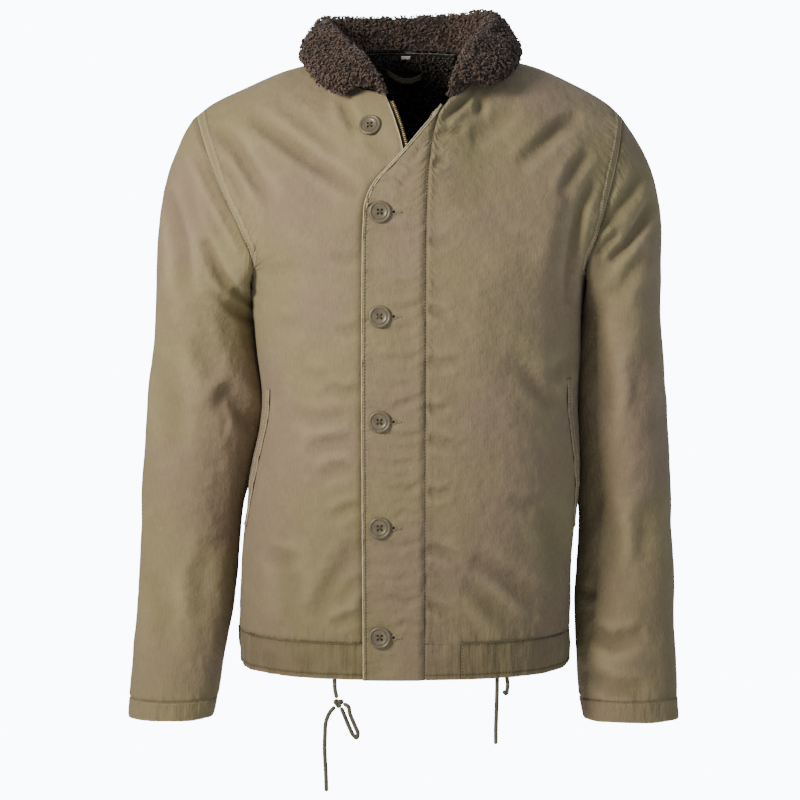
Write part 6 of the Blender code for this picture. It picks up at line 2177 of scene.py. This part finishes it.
# %% Stitches
STITCH_PITCH = 0.0034
STITCHES = {
    # thread: length of a stitch, thickness, material
    "pale": (0.0024, 0.0007, pale_thread),
    "dark": (0.0022, 0.0010, dark_thread),
    "tan": (0.0026, 0.0007, tan_thread),
}
for kind, lines in stitch_lines.items():
    sewn = [spaced(points, outs, STITCH_PITCH) for points, outs in lines]
    places, ways, outs = (np.concatenate([line[k] for line in sewn]) for k in range(3))
    length, thread, material = STITCHES[kind]
    repeated(f"stitches_{kind}", stitch(length, thread), material, "shell_cloth", places, ways, outs)

# %% [markdown]
# A plain pale floor far below, and soft studio light: a bright window of light on the left, a
# larger and weaker one on the right, one behind the jacket, and a pale sky all round.

# %% Floor and light
FLOOR_DROP = 0.35
FLOOR_HALF = 1.25
FLOOR_SIDES = 96
SKY_LIGHT = 0.34
SKY_SHOWN = 12.0
LIGHTS = [
    # name, place, size, watts, colour
    ("key", (-1.35, -1.35, 0.40), 0.50, 51.0, "#fff5e6"),
    ("fill", (1.9, -2.2, 0.2), 1.8, 17.0, "#f1f5ff"),
    ("back", (0.4, 2.6, 1.6), 2.0, 24.0, "#ffffff"),
]
floor_z = cad_box[0].z - FLOOR_DROP
floor_mesh = bpy.data.meshes.new("floor")
rim = [(FLOOR_HALF * math.cos(turn), FLOOR_HALF * math.sin(turn), floor_z)
       for turn in np.linspace(0, 2 * math.pi, FLOOR_SIDES, endpoint=False)]
floor_mesh.from_pydata(rim, [], [range(FLOOR_SIDES)])
paper, tree, shader = new_material("studio floor, pale paper", Roughness=0.9)
shader.inputs["Base Color"].default_value = linear("#f4f3f1")
floor_mesh.materials.append(paper)
floor = bpy.data.objects.new("floor", floor_mesh)
bpy.context.scene.collection.objects.link(floor)
for name, place, size, watts, colour in LIGHTS:
    lamp = bpy.data.lights.new(name, "AREA")
    lamp.color = linear(colour)[:3]
    lamp.size = size
    lamp.energy = watts
    holder = bpy.data.objects.new(name, lamp)
    bpy.context.scene.collection.objects.link(holder)
    holder.location = place
    holder.rotation_euler = (CAMERA_TARGET - Vector(place)).to_track_quat("-Z", "Y").to_euler()
world = bpy.data.worlds.new("studio")
world.use_nodes = True
sky = world.node_tree.nodes["Background"]
sky.inputs["Color"].default_value = linear("#f1f5ff")
seen = add(world.node_tree, "ShaderNodeLightPath").outputs["Is Camera Ray"]
glow = add(world.node_tree, "ShaderNodeMapRange",
           {"Value": seen, "To Min": SKY_LIGHT, "To Max": SKY_SHOWN})
world.node_tree.links.new(glow.outputs["Result"], sky.inputs["Strength"])
bpy.context.scene.world = world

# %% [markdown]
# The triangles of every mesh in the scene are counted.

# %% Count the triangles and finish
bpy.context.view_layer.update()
triangles = 0
for made in bpy.context.scene.objects:
    if made.type == "MESH":
        made.data.calc_loop_triangles()
        triangles += len(made.data.loop_triangles)
print("triangles in every mesh of the scene:", triangles)
